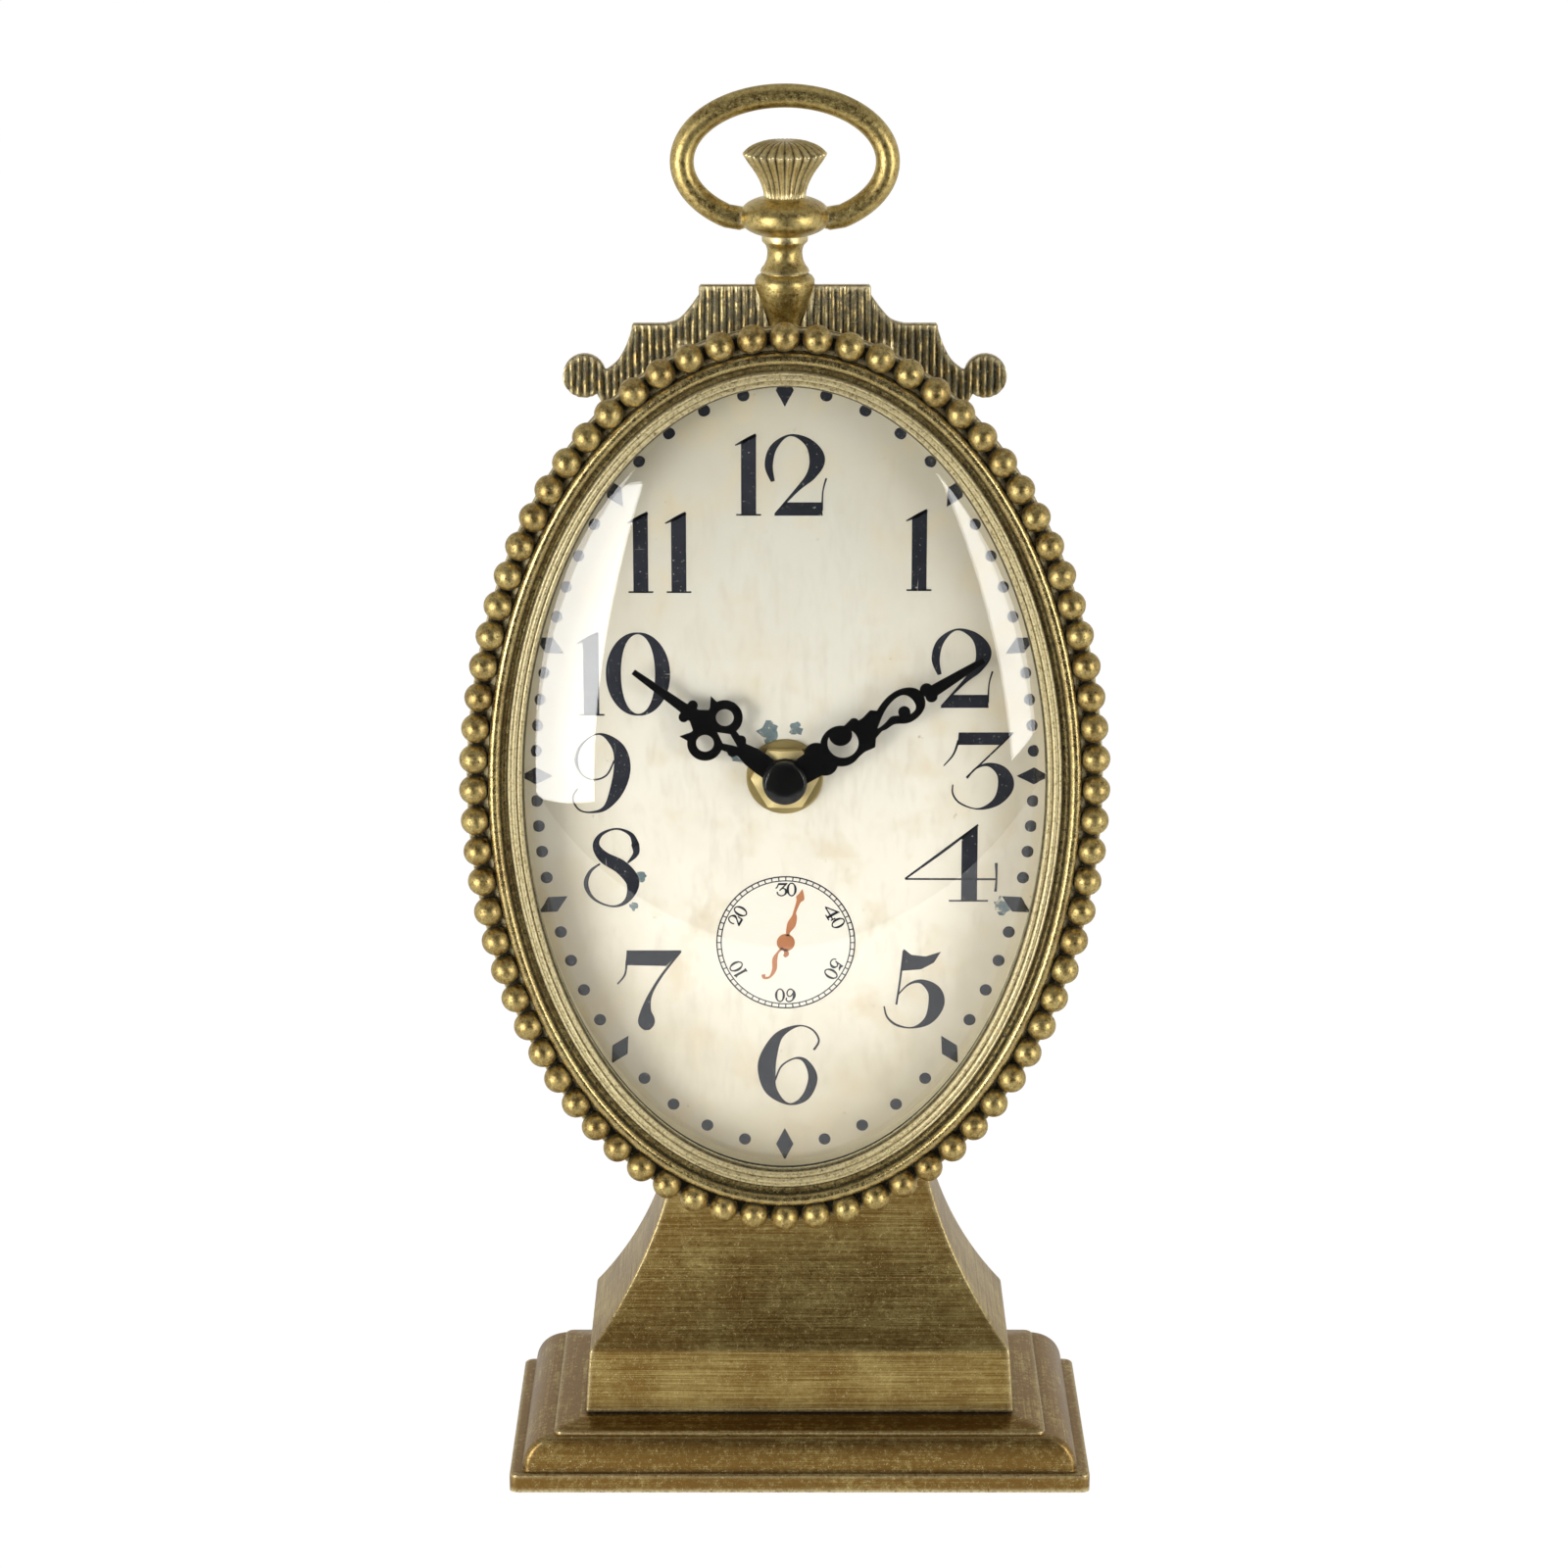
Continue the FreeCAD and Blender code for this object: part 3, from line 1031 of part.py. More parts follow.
def make_hex_nut():
    nut = hex_prism(NUT_ACROSS_FLATS, NUT_FRONT_Y, WASHER_FRONT_Y, False)
    reach = NUT_ACROSS_FLATS / 2 / math.cos(math.radians(30))
    blank = Part.makeCone(NUT_ACROSS_FLATS / 2, reach + NUT_HEIGHT, reach + NUT_HEIGHT - NUT_ACROSS_FLATS / 2,
                          V(0, NUT_FRONT_Y, HUB_Z), V(0, 1, 0))
    nut = nut.common(blank)
    return drilled(nut, [disc_y(BUSH_RADIUS, NUT_FRONT_Y - CUT_OVER, WASHER_FRONT_Y + CUT_OVER)])


def make_gasket_washer():
    ring = disc_y(GASKET_WASHER_RADIUS, PLATE_BACK_Y, MOVE_FRONT_Y)
    return drilled(ring, [disc_y(BUSH_RADIUS + SEAT_GAP, PLATE_BACK_Y - CUT_OVER, MOVE_FRONT_Y + CUT_OVER)])


# Wheel train places, in the plane of the dial
def polar(start, distance, angle):
    turn = math.radians(angle)
    return start[0] + distance * math.cos(turn), start[1] + distance * math.sin(turn)


HUB = (0.0, HUB_Z)
MOTION_PLACE = polar(HUB, MOTION_MODULE * (CANNON_TEETH + MOTION_TEETH) / 2, 0)
SETTING_PLACE = polar(MOTION_PLACE, MOTION_MODULE * (SETTING_TEETH + MOTION_TEETH) / 2, 0)
THIRD_PLACE = polar(HUB, THIRD_DISTANCE, THIRD_ANGLE)
IDLER_PLACE = polar(HUB, IDLER_DISTANCE, IDLER_ANGLE)
ROTOR_PLACE = polar(IDLER_PLACE, ROTOR_DISTANCE, ROTOR_ANGLE)


def pair_module(distance, teeth_a, teeth_b):
    return 2 * distance / (teeth_a + teeth_b)


def meshed_phase(place_a, teeth_a, phase_a, place_b, teeth_b):
    """Turn of wheel b, in radians, that puts its teeth in the gaps of wheel a."""
    line = math.atan2(place_b[1] - place_a[1], place_b[0] - place_a[0])
    pitch_a = teeth_a * (line - phase_a) / (2 * math.pi)
    return line + math.pi - (1 / 2 - pitch_a) * 2 * math.pi / teeth_b


def toothed(module, teeth, y, thickness, place, phase):
    """Toothed disc with straight flanks and generous backlash."""
    pitch = module * teeth / 2
    tip = pitch + ADDENDUM_SHARE * module
    root = pitch - DEDENDUM_SHARE * module
    half_pitch = TOOTH_SHARE * math.pi * module / 2
    half_tip = half_pitch - ADDENDUM_SHARE * module * FLANK_SLOPE / 2
    corners = []
    for index in range(teeth):
        turn = phase + 2 * math.pi * index / teeth
        for radius, half in ((root, -half_pitch), (pitch, -half_pitch), (tip, -half_tip),
                             (tip, half_tip), (pitch, half_pitch), (root, half_pitch)):
            angle = turn + half / radius
            corners.append((place[0] + radius * math.cos(angle), place[1] + radius * math.sin(angle)))
    return prism_y(corners, y, y + thickness)


def shaft(radius, y0, y1, place):
    return disc_y(radius, y0, y1, place[0], place[1])


MOTION_PHASE = meshed_phase(HUB, CANNON_TEETH, 0.0, MOTION_PLACE, MOTION_TEETH)
HOUR_PHASE = meshed_phase(MOTION_PLACE, MOTION_PINION_TEETH, 0.0, HUB, HOUR_TEETH)
SETTING_PHASE = meshed_phase(MOTION_PLACE, MOTION_TEETH, MOTION_PHASE, SETTING_PLACE, SETTING_TEETH)
IDLER_MODULE = pair_module(ROTOR_DISTANCE, PINION_TEETH, IDLER_TEETH)
SECOND_MODULE = pair_module(IDLER_DISTANCE, PINION_TEETH, SECOND_TEETH)
THIRD_MODULE = pair_module(THIRD_DISTANCE, PINION_TEETH, THIRD_TEETH)
CENTRE_MODULE = pair_module(THIRD_DISTANCE, PINION_TEETH, CENTRE_TEETH)
IDLER_PHASE = meshed_phase(ROTOR_PLACE, PINION_TEETH, 0.0, IDLER_PLACE, IDLER_TEETH)
SECOND_PHASE = meshed_phase(IDLER_PLACE, PINION_TEETH, 0.0, HUB, SECOND_TEETH)
THIRD_PHASE = meshed_phase(HUB, PINION_TEETH, 0.0, THIRD_PLACE, THIRD_TEETH)
CENTRE_PHASE = meshed_phase(THIRD_PLACE, PINION_TEETH, 0.0, HUB, CENTRE_TEETH)


def make_minute_arbor():
    """Arbor that carries the minute hand, with the cannon pinion cut on it."""
    back = MID_PLATE_Y - LAYER_GAP
    stem = disc_y(MINUTE_ARBOR_RADIUS, MINUTE_FRONT_Y, back)
    tip = disc_y(CAP_STUD_RADIUS, MINUTE_FRONT_Y - CAP_STUD_LENGTH, MINUTE_FRONT_Y)
    pinion = toothed(MOTION_MODULE, CANNON_TEETH, CANNON_Y, WHEEL_THICKNESS, HUB, 0.0)
    return joined([stem, tip, pinion])


def make_hour_wheel():
    """Hour wheel with the pipe that carries the hour hand."""
    wheel = toothed(MOTION_MODULE, HOUR_TEETH, HOUR_WHEEL_Y, WHEEL_THICKNESS, HUB, HOUR_PHASE)
    pipe = disc_y(HOUR_PIPE_RADIUS, HOUR_FRONT_Y, HOUR_WHEEL_Y + WHEEL_THICKNESS)
    bore = disc_y(MINUTE_ARBOR_RADIUS + RUN_GAP, HOUR_FRONT_Y - CUT_OVER, HOUR_WHEEL_Y + WHEEL_THICKNESS + CUT_OVER)
    return drilled(joined([wheel, pipe]), [bore])


def make_motion_wheel():
    """Wheel and pinion between the cannon pinion and the hour wheel."""
    wheel = toothed(MOTION_MODULE, MOTION_TEETH, CANNON_Y, WHEEL_THICKNESS, MOTION_PLACE, MOTION_PHASE)
    pinion = toothed(MOTION_MODULE, MOTION_PINION_TEETH, HOUR_WHEEL_Y, CANNON_Y - HOUR_WHEEL_Y + TICK,
                     MOTION_PLACE, 0.0)
    bore = shaft(POST_PIN_RADIUS + RUN_GAP, HOUR_WHEEL_Y - CUT_OVER, CANNON_Y + WHEEL_THICKNESS + CUT_OVER,
                 MOTION_PLACE)
    return drilled(joined([wheel, pinion]), [bore])


def make_centre_wheel():
    """Friction-fitted wheel on the minute arbor, driven by the third pinion."""
    wheel = toothed(CENTRE_MODULE, CENTRE_TEETH, CENTRE_Y, WHEEL_THICKNESS, HUB, CENTRE_PHASE)
    bore = disc_y(MINUTE_ARBOR_RADIUS + RUN_GAP, CENTRE_Y - CUT_OVER, CENTRE_Y + WHEEL_THICKNESS + CUT_OVER)
    return drilled(wheel, [bore])


def make_third_wheel():
    wheel = toothed(THIRD_MODULE, THIRD_TEETH, THIRD_Y, WHEEL_THICKNESS, THIRD_PLACE, THIRD_PHASE)
    pinion = toothed(CENTRE_MODULE, PINION_TEETH, CENTRE_Y, WHEEL_THICKNESS, THIRD_PLACE, 0.0)
    arbor = shaft(ARBOR_RADIUS, CENTRE_Y, THIRD_Y, THIRD_PLACE)
    front = shaft(PIVOT_RADIUS, HOUR_WHEEL_Y, CENTRE_Y, THIRD_PLACE)
    back = shaft(PIVOT_RADIUS, THIRD_Y, BRIDGE_BACK_Y, THIRD_PLACE)
    return joined([wheel, pinion, arbor, front, back])


def make_second_wheel():
    wheel = toothed(SECOND_MODULE, SECOND_TEETH, SECOND_Y, WHEEL_THICKNESS, HUB, SECOND_PHASE)
    pinion = toothed(THIRD_MODULE, PINION_TEETH, THIRD_Y, SECOND_Y - THIRD_Y + TICK, HUB, 0.0)
    front = disc_y(PIVOT_RADIUS, MID_PLATE_Y, THIRD_Y)
    back = disc_y(PIVOT_RADIUS, SECOND_Y, BRIDGE_BACK_Y)
    return joined([wheel, pinion, front, back])


def make_idler_wheel():
    wheel = toothed(IDLER_MODULE, IDLER_TEETH, IDLER_Y, WHEEL_THICKNESS, IDLER_PLACE, IDLER_PHASE)
    pinion = toothed(SECOND_MODULE, PINION_TEETH, SECOND_Y, IDLER_Y - SECOND_Y + TICK, IDLER_PLACE, 0.0)
    front = shaft(PIVOT_RADIUS, MID_PLATE_Y, SECOND_Y, IDLER_PLACE)
    back = shaft(PIVOT_RADIUS, IDLER_Y, BRIDGE_BACK_Y, IDLER_PLACE)
    return joined([wheel, pinion, front, back])


def make_rotor():
    pinion = toothed(IDLER_MODULE, PINION_TEETH, IDLER_Y, WHEEL_THICKNESS, ROTOR_PLACE, 0.0)
    magnet = shaft(MAGNET_RADIUS, IDLER_Y - LAYER_GAP - MAGNET_LENGTH, IDLER_Y - LAYER_GAP, ROTOR_PLACE)
    stem = shaft(ARBOR_RADIUS, IDLER_Y - LAYER_GAP, IDLER_Y, ROTOR_PLACE)
    front = shaft(PIVOT_RADIUS, MID_PLATE_Y, IDLER_Y - LAYER_GAP, ROTOR_PLACE)
    back = shaft(PIVOT_RADIUS, IDLER_Y, BRIDGE_BACK_Y, ROTOR_PLACE)
    return joined([pinion, magnet, stem, front, back])


def make_setting_stem():
    pinion = toothed(MOTION_MODULE, SETTING_TEETH, CANNON_Y, WHEEL_THICKNESS, SETTING_PLACE, SETTING_PHASE)
    stem = shaft(STEM_RADIUS, HOUR_WHEEL_Y, MOVE_BACK_Y + REST_GAP, SETTING_PLACE)
    return joined([pinion, stem])


def make_setting_knob():
    front = MOVE_BACK_Y + REST_GAP
    knob = shaft(KNOB_RADIUS, front, front + KNOB_HEIGHT, SETTING_PLACE)
    notches = []
    for index in range(KNOB_NOTCHES):
        place = polar(SETTING_PLACE, KNOB_RADIUS, 360 * index / KNOB_NOTCHES)
        notches.append(shaft(KNOB_NOTCH_RADIUS, front - CUT_OVER, front + KNOB_HEIGHT + CUT_OVER, place))
    return drilled(knob, notches)


# Movement case
def battery_place():
    """Battery axis: (y, z) of the cell that lies across the bottom."""
    y = MOVE_INNER_Y + REST_GAP + BATTERY_RADIUS
    z = HUB_Z - MOVE_HALF + MOVE_WALL + REST_GAP + BATTERY_RADIUS
    return y, z


def bay_top_z():
    return battery_place()[1] + BATTERY_RADIUS + SEAT_GAP


def make_movement_front():
    half = MOVE_HALF
    shell = box(-half, half, MOVE_FRONT_Y, SPLIT_Y, HUB_Z - half, HUB_Z + half)
    uprights = [e for e in shell.Edges if abs(e.tangentAt(e.FirstParameter).y) > 0.9]
    shell = shell.makeFillet(MOVE_CORNER, uprights)
    inside = half - MOVE_WALL
    room = box(-inside, inside, MOVE_INNER_Y, SPLIT_Y + CUT_OVER, HUB_Z - inside, HUB_Z + inside)
    shelf = box(-half + MOVE_WALL / 2, half - MOVE_WALL / 2, MOVE_FRONT_Y, SPLIT_Y, bay_top_z(),
                bay_top_z() + BAY_WALL)
    bush = disc_y(BUSH_RADIUS, BUSH_FRONT_Y, MOVE_FRONT_Y + MOVE_WALL / 2)
    post = shaft(POST_PIN_RADIUS, MOVE_FRONT_Y + MOVE_WALL / 2, CANNON_Y + WHEEL_THICKNESS, MOTION_PLACE)
    stop = shaft(STEM_RADIUS + MOVE_WALL, MOVE_FRONT_Y + MOVE_WALL / 2, HOUR_WHEEL_Y + WHEEL_THICKNESS,
                 SETTING_PLACE)
    perch = shaft(PIVOT_RADIUS + MOVE_WALL, MOVE_FRONT_Y + MOVE_WALL / 2, CENTRE_Y - LAYER_GAP, THIRD_PLACE)
    pillars = [shaft(MOVE_WALL, MOVE_FRONT_Y + MOVE_WALL / 2, MID_PLATE_Y, place) for place in pillar_places()]
    body = joined([shell.cut(room), shelf, bush, post, stop, perch] + pillars)
    bores = [disc_y(HOUR_PIPE_RADIUS + RUN_GAP, BUSH_FRONT_Y - CUT_OVER, MOVE_INNER_Y + CUT_OVER),
             shaft(STEM_RADIUS + RUN_GAP, MOVE_INNER_Y, CANNON_Y, SETTING_PLACE),
             shaft(PIVOT_RADIUS + RUN_GAP, MOVE_INNER_Y, CENTRE_Y, THIRD_PLACE)]
    return drilled(body, bores)


def pillar_places():
    """Pillars that carry the two train plates, clear of every wheel."""
    edge = MOVE_HALF - MOVE_WALL - 2 * MOVE_WALL
    low = bay_top_z() + BAY_WALL + 2 * MOVE_WALL
    return [(-edge, low), (edge, low), (-edge, HUB_Z + MOVE_HALF / 2)]


def train_plate(y):
    """One of the two plates between which the wheels turn."""
    inside = MOVE_HALF - MOVE_WALL - SEAT_GAP
    low = bay_top_z() + BAY_WALL + SEAT_GAP
    high = coil_place()[1] - COIL_RADIUS - 2 * REST_GAP
    return box(-inside, inside, y, y + TRAIN_PLATE_THICKNESS, low, high)


def pillar_pins():
    return [shaft(MOVE_WALL, MID_PLATE_Y + TRAIN_PLATE_THICKNESS, BRIDGE_Y, place) for place in pillar_places()]


def stator_post_places():
    """Posts under the stator, outside the reach of the third wheel."""
    left, right = coil_span()
    z = ROTOR_PLACE[1] + MAGNET_RADIUS + STATOR_GAP
    return [(left - STATOR_MARGIN / 2, z), (right + STATOR_MARGIN / 2, z)]


def make_mid_plate():
    low = MID_PLATE_Y - CUT_OVER
    high = MID_PLATE_Y + TRAIN_PLATE_THICKNESS + CUT_OVER
    holes = [disc_y(PIVOT_RADIUS + RUN_GAP, low, high)]
    holes.append(shaft(ARBOR_RADIUS + RUN_GAP, low, high, THIRD_PLACE))
    holes += [shaft(PIVOT_RADIUS + RUN_GAP, low, high, place) for place in (IDLER_PLACE, ROTOR_PLACE)]
    holes.append(shaft(STEM_RADIUS + RUN_GAP, low, high, SETTING_PLACE))
    back = MID_PLATE_Y + TRAIN_PLATE_THICKNESS
    posts = [shaft(MOVE_WALL, back, stator_y(), place) for place in stator_post_places()]
    plate = joined([train_plate(MID_PLATE_Y)] + pillar_pins() + posts)
    return drilled(plate, holes)


def make_bridge():
    low = BRIDGE_Y - CUT_OVER
    high = BRIDGE_BACK_Y + CUT_OVER
    places = (HUB, THIRD_PLACE, IDLER_PLACE, ROTOR_PLACE)
    holes = [shaft(PIVOT_RADIUS + RUN_GAP, low, high, place) for place in places]
    holes.append(shaft(STEM_RADIUS + RUN_GAP, low, high, SETTING_PLACE))
    return drilled(train_plate(BRIDGE_Y), holes)


def make_movement_back():
    half = MOVE_HALF
    shell = box(-half, half, SPLIT_Y, MOVE_BACK_Y, HUB_Z - half, HUB_Z + half)
    uprights = [e for e in shell.Edges if abs(e.tangentAt(e.FirstParameter).y) > 0.9]
    shell = shell.makeFillet(MOVE_CORNER, uprights)
    inside = half - MOVE_WALL
    room = box(-inside, inside, SPLIT_Y - CUT_OVER, MOVE_BACK_Y - MOVE_WALL, bay_top_z() + BAY_WALL,
               HUB_Z + inside)
    bay = box(-inside, inside, SPLIT_Y - CUT_OVER, MOVE_BACK_Y + CUT_OVER, HUB_Z - inside, bay_top_z())
    hub = shaft(STEM_RADIUS + MOVE_WALL, BRIDGE_BACK_Y + LAYER_GAP + BOARD_THICKNESS, MOVE_BACK_Y, SETTING_PLACE)
    body = joined([shell.cut(Part.makeCompound([room, bay])), hub])
    bore = shaft(STEM_RADIUS + RUN_GAP, SPLIT_Y, MOVE_BACK_Y + CUT_OVER, SETTING_PLACE)
    return drilled(body, [bore])


def stator_y():
    """Front of the stator plate, which rings the middle of the magnet."""
    return IDLER_Y - LAYER_GAP - MAGNET_LENGTH / 2 - STATOR_THICKNESS / 2


def coil_place():
    """Coil axis: (y, z); it lies across the top of the movement."""
    y = stator_y() - COIL_CORE_HALF
    z = HUB_Z + MOVE_HALF - MOVE_WALL - COIL_CHEEK - COIL_RADIUS - REST_GAP
    return y, z


def coil_span():
    centre = ROTOR_PLACE[0]
    return centre - COIL_LENGTH / 2, centre + COIL_LENGTH / 2


def make_coil():
    y, z = coil_place()
    left, right = coil_span()
    core_reach = STATOR_MARGIN
    winding = rod_x(COIL_RADIUS - COIL_CHEEK, left, right, y, z)
    cheeks = [rod_x(COIL_RADIUS, left, left + COIL_CHEEK, y, z), rod_x(COIL_RADIUS, right - COIL_CHEEK, right, y, z)]
    core = box(left - core_reach, right + core_reach, y - COIL_CORE_HALF, y + COIL_CORE_HALF,
               z - COIL_CORE_HALF, z + COIL_CORE_HALF)
    return joined([winding, core] + cheeks)


def make_stator():
    """Soft-iron plate: a frame from the coil's core ends round the rotor."""
    coil_z = coil_place()[1]
    left, right = coil_span()
    leg = STATOR_MARGIN
    front = stator_y()
    back = front + STATOR_THICKNESS
    x0 = left - leg
    x1 = right + leg
    rotor_x, rotor_z = ROTOR_PLACE
    low = rotor_z - MAGNET_RADIUS - STATOR_GAP - STATOR_MARGIN / 2
    bar_top = rotor_z + MAGNET_RADIUS + STATOR_GAP + STATOR_MARGIN / 2
    arms = [box(x0, x0 + leg, front, back, bar_top - leg, coil_z + COIL_CORE_HALF),
            box(x1 - leg, x1, front, back, bar_top - leg, coil_z + COIL_CORE_HALF)]
    bar = box(rotor_x - MAGNET_RADIUS - STATOR_MARGIN, rotor_x + MAGNET_RADIUS + STATOR_MARGIN, front, back,
              low, bar_top)
    links = [box(x0, x1, front, back, bar_top - leg, bar_top)]
    body = joined(arms + [bar] + links)
    return drilled(body, [shaft(MAGNET_RADIUS + STATOR_GAP, front - CUT_OVER, back + CUT_OVER, ROTOR_PLACE)])


def make_board():
    """Circuit board behind the bridge, with its chip and quartz can."""
    inside = MOVE_HALF - MOVE_WALL - SEAT_GAP
    low = bay_top_z() + BAY_WALL + SEAT_GAP
    high = coil_place()[1] - COIL_RADIUS - 2 * REST_GAP
    back = BOARD_Y + BOARD_THICKNESS
    board = box(-inside, SETTING_PLACE[0] - STEM_RADIUS - MOVE_WALL - REST_GAP, BOARD_Y, back, low, high)
    chip = box(-inside / 2, -inside / 2 + 4 * CHIP_HEIGHT, back, back + CHIP_HEIGHT, HUB_Z, HUB_Z + 4 * CHIP_HEIGHT)
    can = rod_z(CHIP_HEIGHT / 2, HUB_Z - 6 * CHIP_HEIGHT, HUB_Z, -inside / 2, back + CHIP_HEIGHT / 2)
    feet = [shaft(MOVE_WALL, BRIDGE_BACK_Y, BOARD_Y, place) for place in pillar_places() if place[0] < 0]
    return joined([board, chip, can] + feet)


def make_battery():
    y, z = battery_place()
    half = BATTERY_LENGTH / 2
    can = rod_x(BATTERY_RADIUS, -half, half, y, z)
    nub = rod_x(BATTERY_NUB_RADIUS, half, half + BATTERY_NUB, y, z)
    return joined([can, nub])


def make_contacts():
    """Two sprung leaves, one at each end of the battery."""
    y, z = battery_place()
    wall = MOVE_HALF - MOVE_WALL
    half = BATTERY_LENGTH / 2
    low_z = z - CONTACT_HALF_WIDTH
    high_z = z + CONTACT_HALF_WIDTH
    left = box(-wall, -wall + CONTACT_THICKNESS, y - CONTACT_HALF_WIDTH, y + CONTACT_HALF_WIDTH, low_z, high_z)
    left_bump = rod_x(CONTACT_BUMP_RADIUS, -wall + CONTACT_THICKNESS, -half - SEAT_GAP, y, z)
    right = box(wall - CONTACT_THICKNESS, wall, y - CONTACT_HALF_WIDTH, y + CONTACT_HALF_WIDTH, low_z, high_z)
    right_bump = rod_x(CONTACT_BUMP_RADIUS, half + BATTERY_NUB + SEAT_GAP, wall - CONTACT_THICKNESS, y, z)
    return Part.makeCompound([joined([left, left_bump]), joined([right, right_bump])])


MAKERS = {
    "base_foot": make_foot,
    "felt_pad": make_felt,
    "foot_screws": make_foot_screws,
    "pedestal": make_pedestal,
    "saddle_screws": make_saddle_screws,
    "case_drum": make_case,
    "bead_rim": make_bead_rim,
    "bezel_ring": make_bezel,
    "glass_lens": make_glass,
    "lens_gasket": make_lens_gasket,
    "dial_spacer": make_spacer,
    "dial_card": lambda: make_dial_layer(DIAL_Y, CARD_BACK_Y),
    "dial_plate": lambda: make_dial_layer(CARD_BACK_Y, PLATE_BACK_Y),
    "back_cover": make_back_cover,
    "back_cover_screws": make_cover_screws,
    "cresting_plate": make_cresting,
    "cresting_screws": make_crest_screws,
    "pendant_neck": make_neck,
    "pendant_knop": make_knop,
    "fluted_crown": make_crown,
    "pendant_stud": make_stud,
    "pendant_nut": make_stud_nut,
    "bow_ring": make_bow,
    "hour_hand": make_hour_hand,
    "minute_hand": make_minute_hand,
    "hand_cap": make_cap,
    "dial_washer": make_washer,
    "dial_hex_nut": make_hex_nut,
    "rubber_washer": make_gasket_washer,
    "movement_front": make_movement_front,
    "movement_back": make_movement_back,
    "train_plate": make_mid_plate,
    "train_bridge": make_bridge,
    "minute_arbor": make_minute_arbor,
    "hour_wheel": make_hour_wheel,
    "motion_wheel": make_motion_wheel,
    "centre_wheel": make_centre_wheel,
    "third_wheel": make_third_wheel,
    "second_wheel": make_second_wheel,
    "idler_wheel": make_idler_wheel,
    "rotor": make_rotor,
    "setting_stem": make_setting_stem,
    "setting_knob": make_setting_knob,
    "drive_coil": make_coil,
    "stator_plate": make_stator,
    "circuit_board": make_board,
    "battery": make_battery,
    "battery_contacts": make_contacts,
}


def main():
    os.makedirs("parts", exist_ok=True)
    for name, make in MAKERS.items():
        shape = make()
        print(name, len(shape.Solids), "solid(s)", "valid" if shape.isValid() else "NOT VALID")
        shape.exportStep("parts/" + name + ".step")
    print("height", round(BOW_Z + BOW_HALF_HEIGHT + BOW_WIRE_RADIUS, 3), "hub", round(HUB_Z, 3))


main()
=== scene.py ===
import json
import math
import random

import bmesh
import bpy
from bpy.props import FloatProperty, FloatVectorProperty, IntProperty, PointerProperty
from mathutils import Matrix, Vector


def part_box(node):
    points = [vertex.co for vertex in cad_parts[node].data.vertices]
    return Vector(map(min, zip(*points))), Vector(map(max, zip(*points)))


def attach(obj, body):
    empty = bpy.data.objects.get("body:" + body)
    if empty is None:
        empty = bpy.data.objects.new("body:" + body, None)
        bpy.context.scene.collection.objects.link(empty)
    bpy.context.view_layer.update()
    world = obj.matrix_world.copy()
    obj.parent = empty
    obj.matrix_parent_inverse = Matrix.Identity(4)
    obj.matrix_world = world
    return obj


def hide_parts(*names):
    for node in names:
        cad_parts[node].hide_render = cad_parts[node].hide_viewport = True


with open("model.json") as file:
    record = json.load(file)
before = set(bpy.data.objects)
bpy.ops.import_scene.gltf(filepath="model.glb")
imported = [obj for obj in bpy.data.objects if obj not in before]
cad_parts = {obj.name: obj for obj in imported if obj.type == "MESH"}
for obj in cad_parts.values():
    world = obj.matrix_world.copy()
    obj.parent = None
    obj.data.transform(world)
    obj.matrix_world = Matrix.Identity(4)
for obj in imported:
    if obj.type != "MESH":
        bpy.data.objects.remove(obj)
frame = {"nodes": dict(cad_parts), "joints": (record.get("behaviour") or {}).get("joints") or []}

bl_info = {
    "name": "Oval shelf clock",
    "version": (1, 0, 0),
    "blender": (4, 5, 0),
    "location": "3D View > Sidebar > Clock",
    "description": "Antique gold oval clock with a beaded rim, domed glass and a bow ring",
    "category": "Object",
}

MM = 0.001
SAME_SPOT = 0.001 * MM
TAU = 2 * math.pi
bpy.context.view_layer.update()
JOINTS = {joint["name"]: joint for joint in frame["joints"]}
HUB = Vector(JOINTS["minute_turn"]["pos_m"])
KNOP = Vector(JOINTS["bow_swing"]["pos_m"])


def size(node):
    low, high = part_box(node)
    return high - low


# The oval opening of the dial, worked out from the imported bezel
BEZEL_WIDTH = 7.0 * MM
OPEN_X = size("bezel_ring").x / 2 - BEZEL_WIDTH
OPEN_Z = size("bezel_ring").z / 2 - BEZEL_WIDTH
SEAT_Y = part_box("bezel_ring")[1].y
REBATE_Y = SEAT_Y - 2.0 * MM
DIAL_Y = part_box("dial_card")[0].y
STAND_X = (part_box("base_foot")[0].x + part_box("base_foot")[1].x) / 2
BUSH_RADIUS = 4.0 * MM
UPRIGHT = Matrix.Rotation(math.pi / 2, 4, "X")


# Sizes and colours that a user can change
def length(name, text, millimetres):
    return FloatProperty(name=name, description=text, default=millimetres * MM, unit="LENGTH", precision=5)


def colour(name, text, *rgb):
    return FloatVectorProperty(name=name, description=text, default=rgb, subtype="COLOR",
                               size=3, min=0, max=1)


class ClockCaseSizes(bpy.types.PropertyGroup):
    """Sizes of the case, its rim and its glass"""
    bead_count: IntProperty(name="Beads", description="Number of beads round the rim", default=76, min=12)
    bead_radius: length("Bead radius", "Radius of one bead", 2.92)
    bead_out: length("Bead ring", "From the opening's edge to the middle of the beads", 9.8)
    roll_radius: length("Bezel roll", "Radius of the bezel's outer roll", 1.15)
    glass_rise: length("Glass rise", "How far the glass bulges out", 8.0)
    glass_thickness: length("Glass thickness", "Thickness of the glass", 1.6)
    glass_shape: FloatProperty(name="Glass fullness", default=3.4, min=2, max=6,
                               description="2 is a plain dome, more is flatter in the middle")
    edge_round: length("Edge rounding", "Rounding of the stand's worn edges", 0.35)


